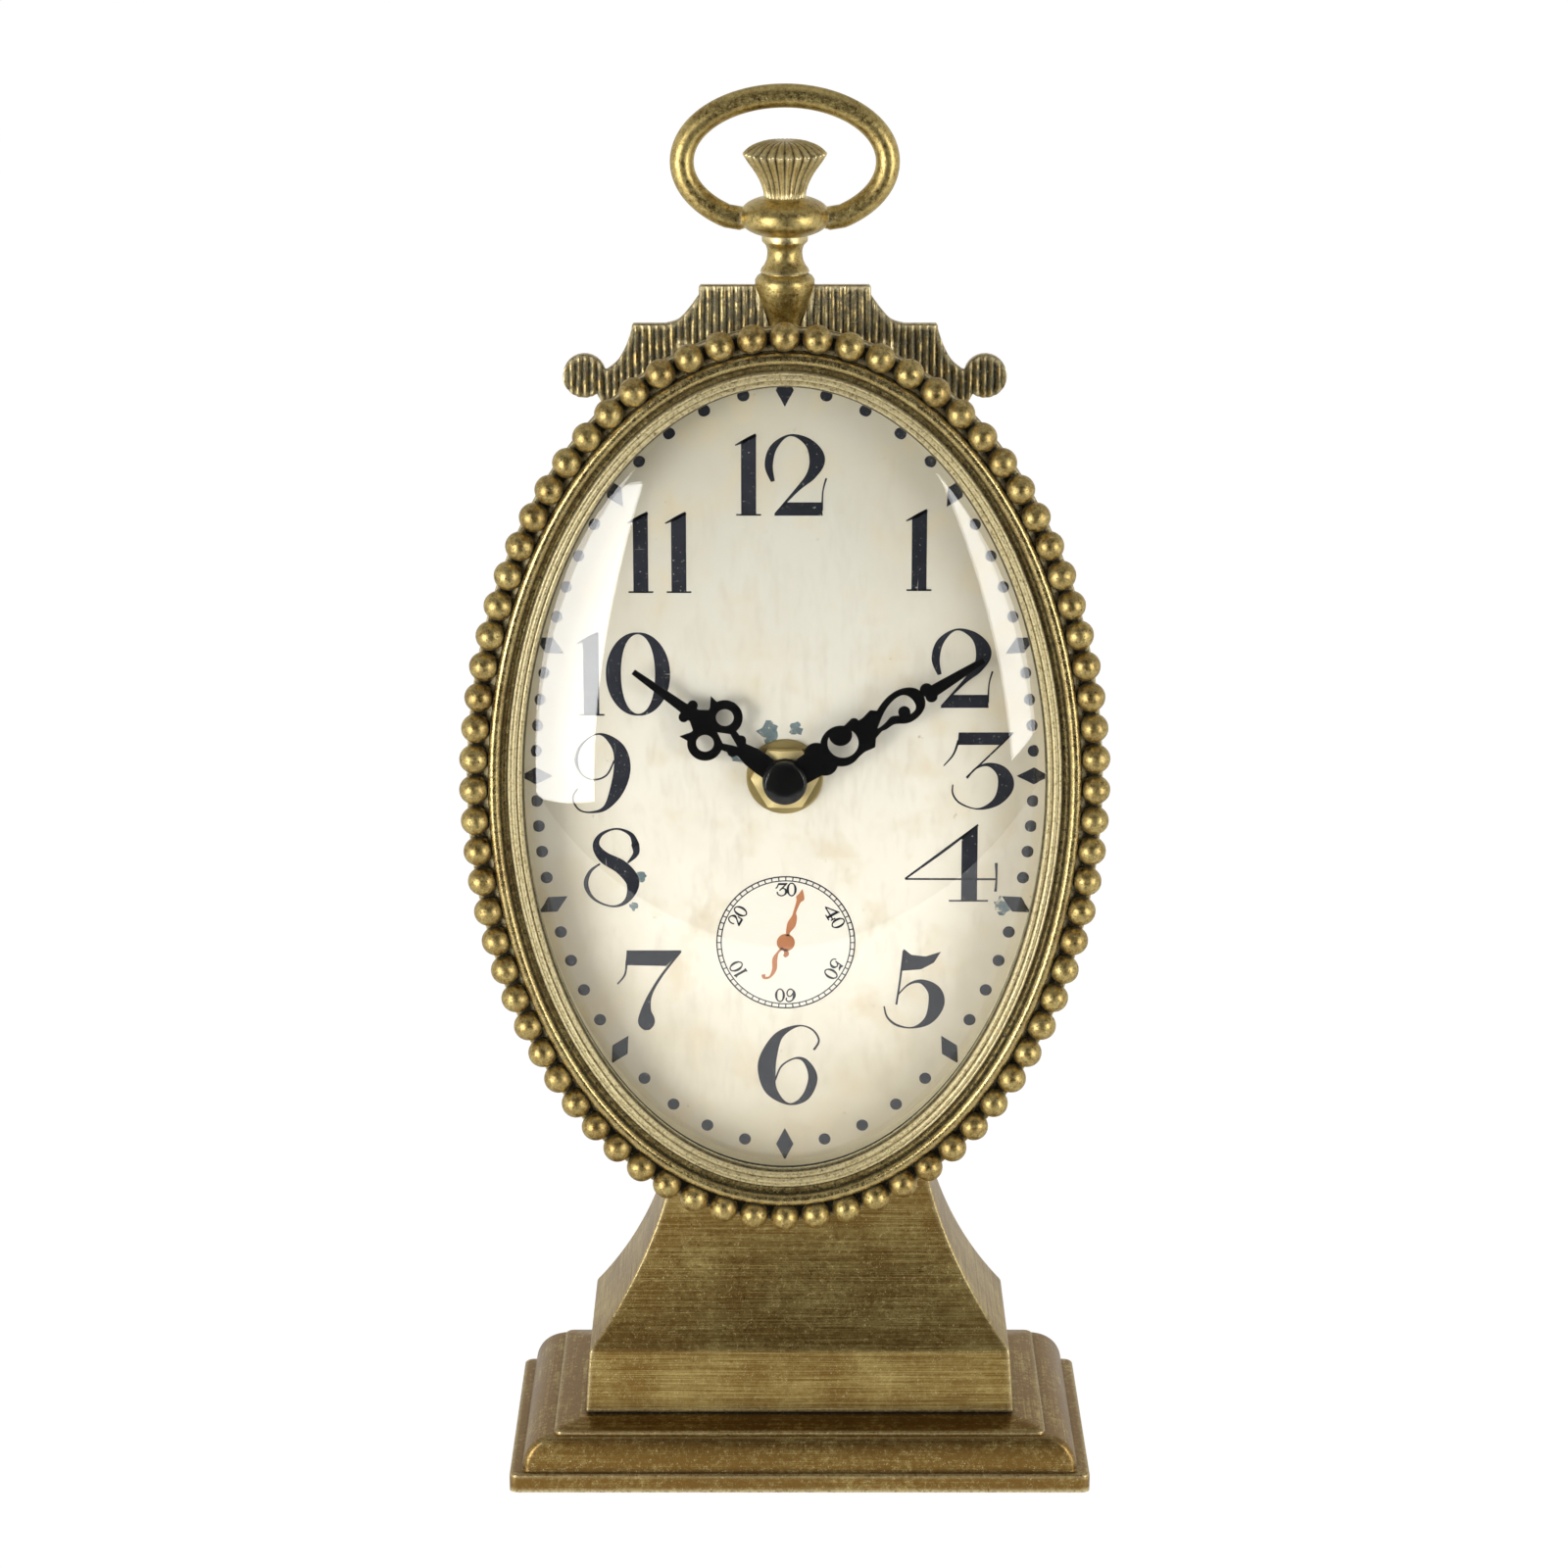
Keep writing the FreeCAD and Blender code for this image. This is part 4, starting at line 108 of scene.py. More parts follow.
class ClockDialSizes(bpy.types.PropertyGroup):
    """Sizes of the print on the dial"""
    track_x: length("Track half width", "Half width of the oval of minute marks", 49.0)
    track_z: length("Track half height", "Half height of the oval of minute marks", 77.3)
    dot_radius: length("Dot radius", "Radius of a minute dot", 1.2)
    small_radius: length("Seconds circle", "Outer radius of the small printed circle", 13.75)
    small_numeral: length("Small numeral", "Height of the small numerals", 2.7)
    print_height: length("Print height", "Thickness of the printed ink", 0.03)


class ClockColours(bpy.types.PropertyGroup):
    """Colours of the metal, the dial and the felt"""
    gold: colour("Gold", "Worn high spots of the antique gold", 0.63, 0.49, 0.18)
    gold_dark: colour("Dark gold", "Toned parts of the antique gold", 0.245, 0.14, 0.036)
    # Also painted shade: crevices and grooves are darkened towards this dark olive colour, for tarnish and
    # shade alike.
    patina_and_shade: colour("Patina", "Dark olive colour in the hollows", 0.017, 0.015, 0.006)
    # Painted shade and light: the card's top colour is darker as shade from the bezel, its low colour paler
    # as light from below.
    cream_shaded_top: colour("Dial", "Aged card at the top of the dial", 0.50, 0.485, 0.41)
    cream_lit_low: colour("Low dial", "Paler card at the bottom of the dial", 0.86, 0.80, 0.68)
    cream_edge: colour("Dial edge", "Yellowed edge of the dial", 0.46, 0.40, 0.27)
    ink: colour("Ink", "Black ink of the numerals", 0.010, 0.011, 0.016)
    copper: colour("Copper ink", "Printed hand of the small circle", 0.42, 0.17, 0.075)
    felt: colour("Felt", "Felt under the foot", 0.03, 0.075, 0.035)


def case_sizes():
    return bpy.context.scene.clock_case


def dial_sizes():
    return bpy.context.scene.clock_dial


def colours():
    return bpy.context.scene.clock_colours


# Shader maths: a socket in a wrapper that adds its nodes as the sum is written
class Term:
    def __init__(self, maker, socket):
        self.maker = maker
        self.socket = socket

    def math(self, operation, *others):
        return self.maker.add("ShaderNodeMath", {"operation": operation}, [self, *others])

    def reflected(self, operation, other):
        return self.maker.add("ShaderNodeMath", {"operation": operation}, [other, self])

    def __add__(self, other):
        return self.math("ADD", other)

    __radd__ = __add__

    def __sub__(self, other):
        return self.math("SUBTRACT", other)

    def __rsub__(self, other):
        return self.reflected("SUBTRACT", other)

    def __mul__(self, other):
        return self.math("MULTIPLY", other)

    __rmul__ = __mul__

    def __truediv__(self, other):
        return self.math("DIVIDE", other)

    def __rtruediv__(self, other):
        return self.reflected("DIVIDE", other)

    def __pow__(self, other):
        return self.math("POWER", other)

    def clamp(self):
        return self.math("MAXIMUM", 0.0).math("MINIMUM", 1.0)

    def ramp(self, low, high):
        """0 below low, 1 above high, straight between them."""
        return ((self - low) / (high - low)).clamp()


class Nodes:
    """A node tree being filled."""

    def __init__(self, tree):
        self.tree = tree

    def add(self, kind, settings, values=(), out=0):
        """A node with its settings, then its sockets by number or name; gives one output."""
        node = self.tree.nodes.new(kind)
        for label, value in settings.items():
            setattr(node, label, value)
        pairs = values.items() if isinstance(values, dict) else enumerate(values)
        for key, value in pairs:
            if isinstance(value, Term):
                self.link(value, node.inputs[key])
            else:
                node.inputs[key].default_value = value
        return Term(self, node.outputs[out])

    def link(self, term, socket):
        self.tree.links.new(term.socket, socket)

    def ray(self, label):
        return self.add("ShaderNodeLightPath", {}, out=label)

    def blend(self, share, first, second):
        return self.add("ShaderNodeMixShader", {}, [share, first, second])


class Finish(Nodes):
    """A material being made, with a Principled shader."""

    def __init__(self, name, **sockets):
        self.material = bpy.data.materials.new(name)
        self.material.use_nodes = True
        super().__init__(self.material.node_tree)
        self.shader = self.tree.nodes["Principled BSDF"]
        for label, value in sockets.items():
            self.shader.inputs[label.replace("_", " ")].default_value = value
        self.place = self.add("ShaderNodeTexCoord", {}, out="Object")

    def noise(self, per_metre, detail=2.0, roughness=0.5, stretch=(1, 1, 1), seed=0.0):
        spot = self.add("ShaderNodeMapping", {},
                        {"Vector": self.place, "Scale": stretch, "Location": (seed,) * 3})
        return self.add("ShaderNodeTexNoise", {}, {"Vector": spot, "Scale": per_metre, "Detail": detail,
                                                   "Roughness": roughness})

    def axis(self, name):
        return self.add("ShaderNodeSeparateXYZ", {}, [self.place], name)

    def mix(self, share, first, second):
        """Colour mix: plain colours are given as three numbers."""
        ends = [end if isinstance(end, Term) else (*end, 1) for end in (first, second)]
        return self.add("ShaderNodeMix", {"data_type": "RGBA"}, {0: share, 6: ends[0], 7: ends[1]}, 2)

    def hollow(self, reach, inside=False):
        """0 in the open, up to 1 deep in a crevice; inside, it finds outer edges instead."""
        settings = {"samples": 6, "inside": inside}
        return 1.0 - self.add("ShaderNodeAmbientOcclusion", settings, {"Distance": reach}, "AO")

    def edge(self, reach):
        """0 on open faces, 1 along outer edges."""
        return self.hollow(reach, True).ramp(0.12, 0.36)

    def painted(self, name):
        """A value that the piece carries on its own vertices."""
        return self.add("ShaderNodeAttribute", {"attribute_name": name}, out="Fac")

    def cover(self, share, other):
        """Shows the other shader in this share."""
        mixed = self.blend(share, Term(self, self.shader.outputs[0]), other)
        self.link(mixed, self.tree.nodes["Material Output"].inputs["Surface"])

    def set(self, label, term):
        self.link(term, self.shader.inputs[label])

    def bump(self, height, strength, distance=0.1 * MM):
        self.set("Normal", self.add("ShaderNodeBump", {}, {"Height": height, "Strength": strength,
                                                           "Distance": distance}))
        return self


def shaded(rgb, factor, lift=0.0):
    """The colour made darker or lighter."""
    return tuple(min(1, channel * factor + lift) for channel in rgb)


def antique_gold(name, shine, toning, brushing, grime_and_shade, reach, blotch, valley=None):
    """Gold over dark metal: toned in clouds, dark in hollows with tarnish and painted shade, bright on worn
    edges and in painted glints.

    The reach of the hollows is in millimetres. A valley names the two
    depths between which a reeded front turns dark.
    """
    c = colours()
    f = Finish(name, Metallic=1.0)
    clouds = f.noise(90, 4, 0.62)
    mottle = f.noise(900, 3, 0.7, seed=3.0)
    grain = f.noise(4200, 2, 0.6, seed=7.0)
    crust = f.noise(1700, 3, 0.75, seed=11.0)
    gritty = 0.8 if brushing else 1.6
    pitted = 0.25 if brushing else 0.75
    shade = (clouds - 0.5) * 1.4 + (mottle - 0.5) * blotch + (grain - 0.5) * gritty + (1.0 - toning)
    if brushing:
        lines = f.noise(34, 3, 0.6, stretch=(1, 1, 120), seed=5.0)
        fine = f.noise(60, 2, 0.6, stretch=(1, 1, 260), seed=9.0)
        shade = shade + (lines - 0.5) * (1.8 * brushing) + (fine - 0.5) * (2.0 * brushing)
    base = f.mix(shade.clamp(), c.gold_dark, c.gold)
    pits = crust.ramp(0.54, 0.68) * clouds.ramp(0.35, 0.6) * (pitted * grime_and_shade)
    # Tarnish and painted shade: crevices found by ambient occlusion, and darkening values carried on the
    # vertices, turn the gold towards the dark olive colour.
    depth = f.hollow(reach * MM).ramp(0.2, 0.7) * grime_and_shade + f.painted("grime_and_shade")
    # Painted shade with tarnish: the reeded front darkens in its valleys and in broken upright dashes
    # between the crests.
    if valley:
        gaps = f.noise(700, 3, 0.7, stretch=(1, 1, 0.55), seed=13.0)
        y = f.axis("Y")
        front = y.ramp(valley[1] + 0.6 * MM, valley[1] + 0.3 * MM)
        depth = depth + (y.ramp(*valley) * 0.9 + gaps.ramp(0.43, 0.55) * 0.95) * front
    depth = ((depth + pits) * (0.7 + (crust - 0.35) * 1.8)).clamp()
    base = f.mix(depth, base, c.patina_and_shade)
    # Bright gold on rubbed edges, which is wear, and in random specks, which are painted glints of light.
    worn = f.edge(1.2 * MM) * crust.ramp(0.30, 0.52)
    painted_glints = grain.ramp(0.61, 0.69) * mottle.ramp(0.47, 0.58)
    base = f.mix((worn * 0.9 + painted_glints * 0.85).clamp(), base, (0.88, 0.76, 0.44))
    f.set("Base Color", base)
    uneven = 0.15 if brushing else 0.5
    rough = 0.48 - shine * 0.27 + (mottle - 0.5) * uneven + (grain - 0.5) * 0.4 + depth * 0.3
    f.set("Roughness", rough.clamp())
    f.set("Metallic", 1.0 - depth * 0.6)
    relief = mottle * 0.4 + grain * 0.45 + crust * 0.45
    if brushing:
        relief = relief * 0.25 + lines * 0.5 + fine * 0.4
    return f.bump(relief, 0.42, 0.13 * MM).material


def plain_metal(name, rgb, rough, bright=(0.9, 0.9, 0.9), metal=1.0):
    """Bare metal with faint brush lines and painted shade in its hollows."""
    f = Finish(name, Metallic=metal)
    brushed = f.noise(260, 4, 0.7, stretch=(1, 6, 1))
    specks = f.noise(2500, 2, 0.6, seed=2.0)
    base = f.mix((brushed.ramp(0.3, 0.75) * 0.4).clamp(), rgb, bright)
    # Painted shade: hollows found by ambient occlusion are darkened to a fifth of the colour.
    base = f.mix(f.hollow(1.2 * MM).ramp(0.3, 0.9), base, shaded(rgb, 0.2))
    f.set("Base Color", base)
    f.set("Roughness", (rough + (brushed - 0.5) * 0.3).clamp())
    return f.bump(brushed * 0.5 + specks * 0.5, 0.12).material


def moulded(name, rgb, rough, grain=1500, depth=0.15, gloss=0.5):
    """Plastic, rubber or paint with a fine grain and a painted highlight along its edges."""
    f = Finish(name, Specular_IOR_Level=gloss)
    stipple = f.noise(grain, 3, 0.6)
    tone = f.noise(60, 2, 0.5, seed=4.0)
    base = f.mix(tone.ramp(0.25, 0.75), shaded(rgb, 0.86), rgb)
    # Painted highlight: outer edges are made paler and brighter.
    base = f.mix(f.edge(0.4 * MM) * 0.35, base, shaded(rgb, 1.5, 0.02))
    f.set("Base Color", base)
    f.set("Roughness", (rough + (stipple - 0.5) * 0.25).clamp())
    return f.bump(stipple, depth).material


def clear_glass():
    """Glass that lets the light for shadows straight through."""
    f = Finish("clear_glass", Roughness=0.0, IOR=1.48, Transmission_Weight=1.0,
               Base_Color=(0.985, 0.99, 0.985, 1))
    clear = f.add("ShaderNodeBsdfTransparent", {}, {"Color": (0.97, 0.975, 0.97, 1)})
    f.cover(f.ray("Is Shadow Ray"), clear)
    return f.material


def dial_card_finish():
    """Aged card: darker at the top with painted shade, paler low down with painted light, browner towards
    the edge and low down, foxed and fibrous.
    """
    c = colours()
    f = Finish("dial_card", Roughness=0.62)
    across = f.axis("X") / OPEN_X
    up = (f.axis("Z") - HUB.z) / OPEN_Z
    radius = (across * across + up * up) ** 0.5
    clouds = f.noise(34, 4, 0.6)
    blots = f.noise(120, 3, 0.55, seed=6.0)
    fibre = f.noise(420, 3, 0.6, stretch=(1, 1, 0.35), seed=8.0)
    old = radius.ramp(0.55, 1.08) * 0.75 + (0.0 - up).ramp(0.0, 1.3) * 0.3 + (clouds - 0.5) * 0.9
    # Painted shade and light: darker towards the top, paler towards the bottom.
    card = f.mix(up.ramp(-0.5, 0.9), c.cream_lit_low, c.cream_shaded_top)
    base = f.mix(old.clamp(), card, c.cream_edge)
    base = f.mix(blots.ramp(0.52, 0.76) * 0.42, base, (0.60, 0.46, 0.24))
    base = f.mix(fibre.ramp(0.50, 0.76) * 0.26, base, (0.42, 0.36, 0.25))
    foxing = f.noise(700, 2, 0.5, seed=15.0).ramp(0.72, 0.78) * blots.ramp(0.45, 0.6)
    base = f.mix(foxing * 0.5, base, (0.26, 0.17, 0.08))
    rings = (radius - 0.86).math("ABSOLUTE").ramp(0.10, 0.0) * clouds.ramp(0.5, 0.7)
    base = f.mix(rings * 0.15, base, (0.55, 0.42, 0.2))
    f.set("Base Color", base)
    return f.bump(fibre * 0.6 + blots * 0.4, 0.06).material


def ink_finish(name, rgb, wear=0.5, fade=2.4):
    """Ink that has rubbed away in scratches and specks, with the card showing."""
    f = Finish(name, Roughness=0.6, Specular_IOR_Level=0.15)
    scratch_a = f.noise(70, 3, 0.7, stretch=(1, 1, 14), seed=1.0)
    scratch_b = f.noise(70, 3, 0.7, stretch=(14, 1, 1), seed=12.0)
    specks = f.noise(1500, 3, 0.65, seed=5.0)
    clouds = f.noise(80, 3, 0.6, seed=21.0)
    scratches = scratch_a.ramp(0.70, 0.76) * 0.5 + scratch_b.ramp(0.70, 0.76) * 0.4
    lost = specks.ramp(0.63, 0.72) * 0.8 + scratches
    tone = f.mix(clouds.ramp(0.35, 0.7) * 0.5, rgb, shaded(rgb, fade, 0.012))
    f.set("Base Color", f.mix((lost * wear).clamp(), tone, colours().cream_shaded_top))
    return f.bump(specks, 0.05).material


def stain_finish():
    """Grey-green stain that thins out at its edge."""
    f = Finish("verdigris_stain", Roughness=0.7)
    patches = f.noise(900, 3, 0.6)
    f.set("Base Color", f.mix(patches.ramp(0.35, 0.65), (0.23, 0.28, 0.28), (0.09, 0.14, 0.15)))
    f.set("Alpha", patches.ramp(0.36, 0.52) * 0.9)
    return f.material


def felt_finish():
    """Green felt."""
    green = colours().felt
    f = Finish("green_felt", Roughness=0.95, Sheen_Weight=0.4)
    fuzz = f.noise(2600, 4, 0.7)
    f.set("Base Color", f.mix(fuzz, green, shaded(green, 2.2)))
    return f.bump(fuzz, 0.8, 0.2 * MM).material


def battery_finish():
    """Plain wrap with a copper-coloured end."""
    f = Finish("battery_wrap", Metallic=0.6)
    smudge = f.noise(300, 3, 0.6)
    band = f.axis("X").ramp(11.9 * MM, 12.1 * MM)
    body = f.mix(smudge.ramp(0.3, 0.7) * 0.3, (0.025, 0.028, 0.035), (0.06, 0.065, 0.08))
    f.set("Base Color", f.mix(band, body, (0.60, 0.31, 0.13)))
    f.set("Roughness", (0.28 + (smudge - 0.5) * 0.2).clamp())
    return f.material


# Shine, toning, brushing, darkening in the hollows (dirt and painted shade), reach of the hollows in
# millimetres, blotches
GOLDS = {
    "stand": (0.4, 0.68, 1.0, 0.5, 1.4, 0.8),
    "foot": (0.5, 1.0, 0.7, 1.0, 1.4, 1.8),
    "case": (0.75, 0.32, 0.0, 0.9, 1.0, 1.8),
    "bezel": (0.85, 0.42, 0.0, 1.0, 1.0, 2.0),
    "rim": (0.2, 0.9, 0.0, 2.0, 1.6, 2.4),
    "beads": (0.35, 0.42, 0.0, 1.3, 1.2, 2.2),
    "cresting": (0.4, 0.5, 0.0, 1.3, 0.8, 2.4),
    "pendant": (0.4, 0.25, 0.0, 0.7, 0.8, 2.2),
}
# Colour, roughness, colour where it is brightest, share of metal
METALS = {
    "bright_brass": ((0.72, 0.56, 0.24), 0.40, (0.92, 0.80, 0.46), 0.6),
    "dull_brass": ((0.36, 0.28, 0.11), 0.40, (0.55, 0.44, 0.20), 0.8),
    "plain_steel": ((0.45, 0.46, 0.47), 0.36),
    "dial_metal": ((0.60, 0.60, 0.61), 0.4),
    "copper_coil": ((0.62, 0.25, 0.11), 0.35, (0.85, 0.45, 0.25)),
}
# Colour, roughness, grain, depth of the grain, gloss
MOULDINGS = {
    "black_hands": ((0.001, 0.001, 0.001), 0.55, 2600, 0.1, 0.04),
    "black_cap": ((0.001, 0.001, 0.001), 0.16, 2600, 0.03, 0.5),
    "black_plastic": ((0.018, 0.018, 0.02), 0.42),
    "white_plastic": ((0.72, 0.72, 0.69), 0.45),
    "black_rubber": ((0.02, 0.02, 0.02), 0.7),
    "cream_lining": ((0.55, 0.49, 0.34), 0.55),
    "circuit_board": ((0.03, 0.16, 0.06), 0.4),
}
FINISHES = {}


def make_finishes():
    crest_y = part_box("cresting_plate")[0].y
    shallow, deep = 0.12 * MM, 0.4 * MM
    valleys = {"cresting": (crest_y + shallow, crest_y + deep)}
    for name, values in GOLDS.items():
        FINISHES[name] = antique_gold("antique_gold_" + name, *values, valleys.get(name))
    for name, values in METALS.items():
        FINISHES[name] = plain_metal(name, *values)
    for name, values in MOULDINGS.items():
        FINISHES[name] = moulded(name, *values)
    FINISHES["glass"] = clear_glass()
    FINISHES["card"] = dial_card_finish()
    FINISHES["ink"] = ink_finish("dial_ink", colours().ink, 0.8)
    FINISHES["copper_ink"] = ink_finish("dial_copper_ink", colours().copper, 0.4, 1.2)
    FINISHES["white_ink"] = ink_finish("dial_white_ink", (0.80, 0.755, 0.655), 0.2, 0.96)
    FINISHES["stain"] = stain_finish()
    FINISHES["felt"] = felt_finish()
    FINISHES["battery"] = battery_finish()


# Pieces
def place_piece(name, bm, look, node=None, crease=40.0, body="clock", tidy=True):
    """Turns a bmesh into a piece, smooth except at creases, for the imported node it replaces."""
    if tidy:
        bmesh.ops.remove_doubles(bm, verts=bm.verts, dist=SAME_SPOT)
        bmesh.ops.recalc_face_normals(bm, faces=bm.faces)
    limit = math.radians(crease)
    for edge in bm.edges:
        edge.smooth = len(edge.link_faces) == 2 and edge.calc_face_angle(0.0) < limit
    for face in bm.faces:
        face.smooth = True
    mesh = bpy.data.meshes.new(name)
    bm.to_mesh(mesh)
    bm.free()
    piece = bpy.data.objects.new(name, mesh)
    bpy.context.scene.collection.objects.link(piece)
    mesh.materials.append(FINISHES[look])
    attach(piece, body)
    if node:
        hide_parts(node)
    return piece


def raised(bm, faces):
    """Pulls a second skin off the faces and gives its verts, still in place."""
    grown = bmesh.ops.extrude_face_region(bm, geom=faces)["geom"]
    return [item for item in grown if isinstance(item, bmesh.types.BMVert)]


def outline(bm, points, closed=True):
    """Verts and edges of a chain of points."""
    verts = [bm.verts.new(point) for point in points]
    edges = [bm.edges.new(pair) for pair in zip(verts, verts[1:])]
    if closed:
        edges.append(bm.edges.new((verts[-1], verts[0])))
    return verts, edges


def arc(centre, radius, start, end, steps):
    """Points along an arc, in the plane that the two coordinates name."""
    turns = [math.radians(start + (end - start) * i / steps) for i in range(steps + 1)]
    return [(centre[0] + radius * math.cos(t), centre[1] + radius * math.sin(t)) for t in turns]


def curve_through(points, steps=6):
    """Smooth chain through points of any size (a Catmull-Rom curve)."""
    ends = [points[0]] + list(points) + [points[-1]]
    found = []
    for a, b, c, d in zip(ends, ends[1:], ends[2:], ends[3:]):
        for i in range(steps):
            t = i / steps
            found.append(tuple(
                0.5 * (2 * q + (r - p) * t + (2 * p - 5 * q + 4 * r - s) * t * t
                       + (3 * q - p - 3 * r + s) * t ** 3)
                for p, q, r, s in zip(a, b, c, d)))
    return found + [tuple(points[-1])]


def spun(bm, points, axis, centre, steps, closed=True):
    """Spins a chain of points a full turn about an axis through the centre."""
    verts, edges = outline(bm, points, closed)
    bmesh.ops.spin(bm, geom=verts + edges, cent=centre, axis=axis, angle=TAU, steps=steps, use_merge=True)


def spun_round_hub(bm, profile, steps, closed=True):
    """Spins (radius, y) points about the middle of the dial."""
    spun(bm, [(radius, y, HUB.z) for radius, y in profile], (0, 1, 0), HUB, steps, closed)


def oval_ring(bm, profile, steps=200, grime_and_shade=None):
    """Ring with the (out, y) profile, spun round and then drawn out to the oval."""
    spun_round_hub(bm, [(OPEN_X + out, y) for out, y in profile], steps)
    # Darkening values on the vertices, for tarnish and painted shade in hollows and grooves.
    layer = bm.verts.layers.float.new("grime_and_shade")
    for vert in bm.verts:
        reach = math.hypot(vert.co.x, vert.co.z - HUB.z)
        vert.co.z += (OPEN_Z - OPEN_X) * (vert.co.z - HUB.z) / reach
        if grime_and_shade:
            vert[layer] = grime_and_shade(reach - OPEN_X)


def turned_piece(profile, z0, steps=64):
    """Closed turned body from (radius, height) points above z0."""
    bm = bmesh.new()
    points = [(radius, 0, z0 + height) for radius, height in profile]
    spun(bm, points, (0, 0, 1), (0, 0, 0), steps, False)
    return bm


def rounded_corners(half_x, half_y, radius, steps=5):
    """Corner points of a rounded rectangle, anticlockwise from the right front."""
    points = []
    for index, (sx, sy) in enumerate(((1, -1), (1, 1), (-1, 1), (-1, -1))):
        start = -90 + 90 * index
        points += arc((sx * (half_x - radius), sy * (half_y - radius)), radius, start, start + 90, steps)
    return points


def stacked(bm, levels, centre_x, corner):
    """Body of rounded rectangles, one per (half width, half depth, z) level."""
    def corners(level):
        half_x, half_y, z = level
        return [Vector((centre_x + x, y, z)) for x, y in rounded_corners(half_x, half_y, corner)]

    spots = corners(levels[0])
    verts, _ = outline(bm, spots)
    face = bm.faces.new(verts)
    for count, level in enumerate(levels[1:]):
        below = face
        grown = bmesh.ops.extrude_face_region(bm, geom=[below])["geom"]
        face = next(item for item in grown if isinstance(item, bmesh.types.BMFace))
        if count and below.is_valid:
            bmesh.ops.delete(bm, geom=[below], context="FACES_ONLY")
        wanted = corners(level)
        for vert in face.verts:
            nearest = min(range(len(spots)), key=lambda i: (spots[i] - vert.co).length_squared)
            vert.co = wanted[nearest]
        spots = wanted


def softened(points, radius, steps=3):
    """Rounds the corners of an open chain of (inset, z) points."""
    found = [points[0]]
    for before, corner, after in zip(points, points[1:], points[2:]):
        here = Vector(corner)
        to_before = Vector(before) - here
        to_after = Vector(after) - here
        reach = min(radius, to_before.length / 2, to_after.length / 2)
        first = here + to_before.normalized() * reach
        last = here + to_after.normalized() * reach
        for i in range(steps + 1):
            t = i / steps
            found.append(tuple(first * (1 - t) ** 2 + here * 2 * t * (1 - t) + last * t * t))
    return found + [points[-1]]


def shape_with(piece, operation, bm, look):
    """Cuts a piece with a second mesh of the same look, which is then gone."""
    cutter = place_piece("cutter", bm, look)
    cut = piece.modifiers.new("cut", "BOOLEAN")
    cut.operation = operation
    cut.object = cutter
    cut.solver = "EXACT"
    bpy.context.view_layer.update()
    shaped = bpy.data.meshes.new_from_object(piece.evaluated_get(bpy.context.evaluated_depsgraph_get()))
    piece.modifiers.clear()
    piece.data = shaped
    bpy.data.objects.remove(cutter)


# Stand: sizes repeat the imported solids, which these pieces are fitted over
def stand_piece(name, node, chain, corner, look, crease):
    """Body with a chain of (inset at the ends, inset in front, height) points."""
    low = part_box(node)[0]
    half = size(node) / 2
    bm = bmesh.new()
    stacked(bm, [(half.x - a, half.y - b, low.z + z) for a, b, z in chain], STAND_X, corner)
    return place_piece(name, bm, look, node, crease)


def foot_chain(top, step, roll):
    """(Inset, height) points: plinth, step, quarter roll and fillet."""
    plinth = 3.9 * MM
    start = top - 8.2 * MM
    roll_rise = 6.4 * MM
    fillet = 0.4 * MM
    fillet_low = top - 1.8 * MM
    fillet_high = top - 1.0 * MM
    slope = 5.6 * MM
    chain = [(0, 0), (0, plinth), (step, plinth), (step, start)]
    for i in range(1, 10):
        turn = math.pi / 2 * i / 9
        chain.append((step + roll * (1 - math.cos(turn)), start + roll_rise * math.sin(turn)))
    inset = chain[-1][0] + fillet
    return chain + [(inset, fillet_low), (inset, fillet_high), (inset + slope, top)]


class CLOCK_OT_foot(bpy.types.Operator):
    """Moulded foot with worn edges"""
    bl_idname = "clock.foot"
    bl_label = "Foot"

    def execute(self, context):
        low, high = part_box("base_foot")
        ends = foot_chain(high.z - low.z, step=2.6 * MM, roll=6.0 * MM)
        fronts = foot_chain(high.z - low.z, step=1.2 * MM, roll=1.5 * MM)
        chain = softened([(a, b, z) for (a, z), (b, _) in zip(ends, fronts)], 2 * case_sizes().edge_round)
        stand_piece("foot_moulding", "base_foot", chain, corner=1.6 * MM, look="foot", crease=50)
        return {"FINISHED"}


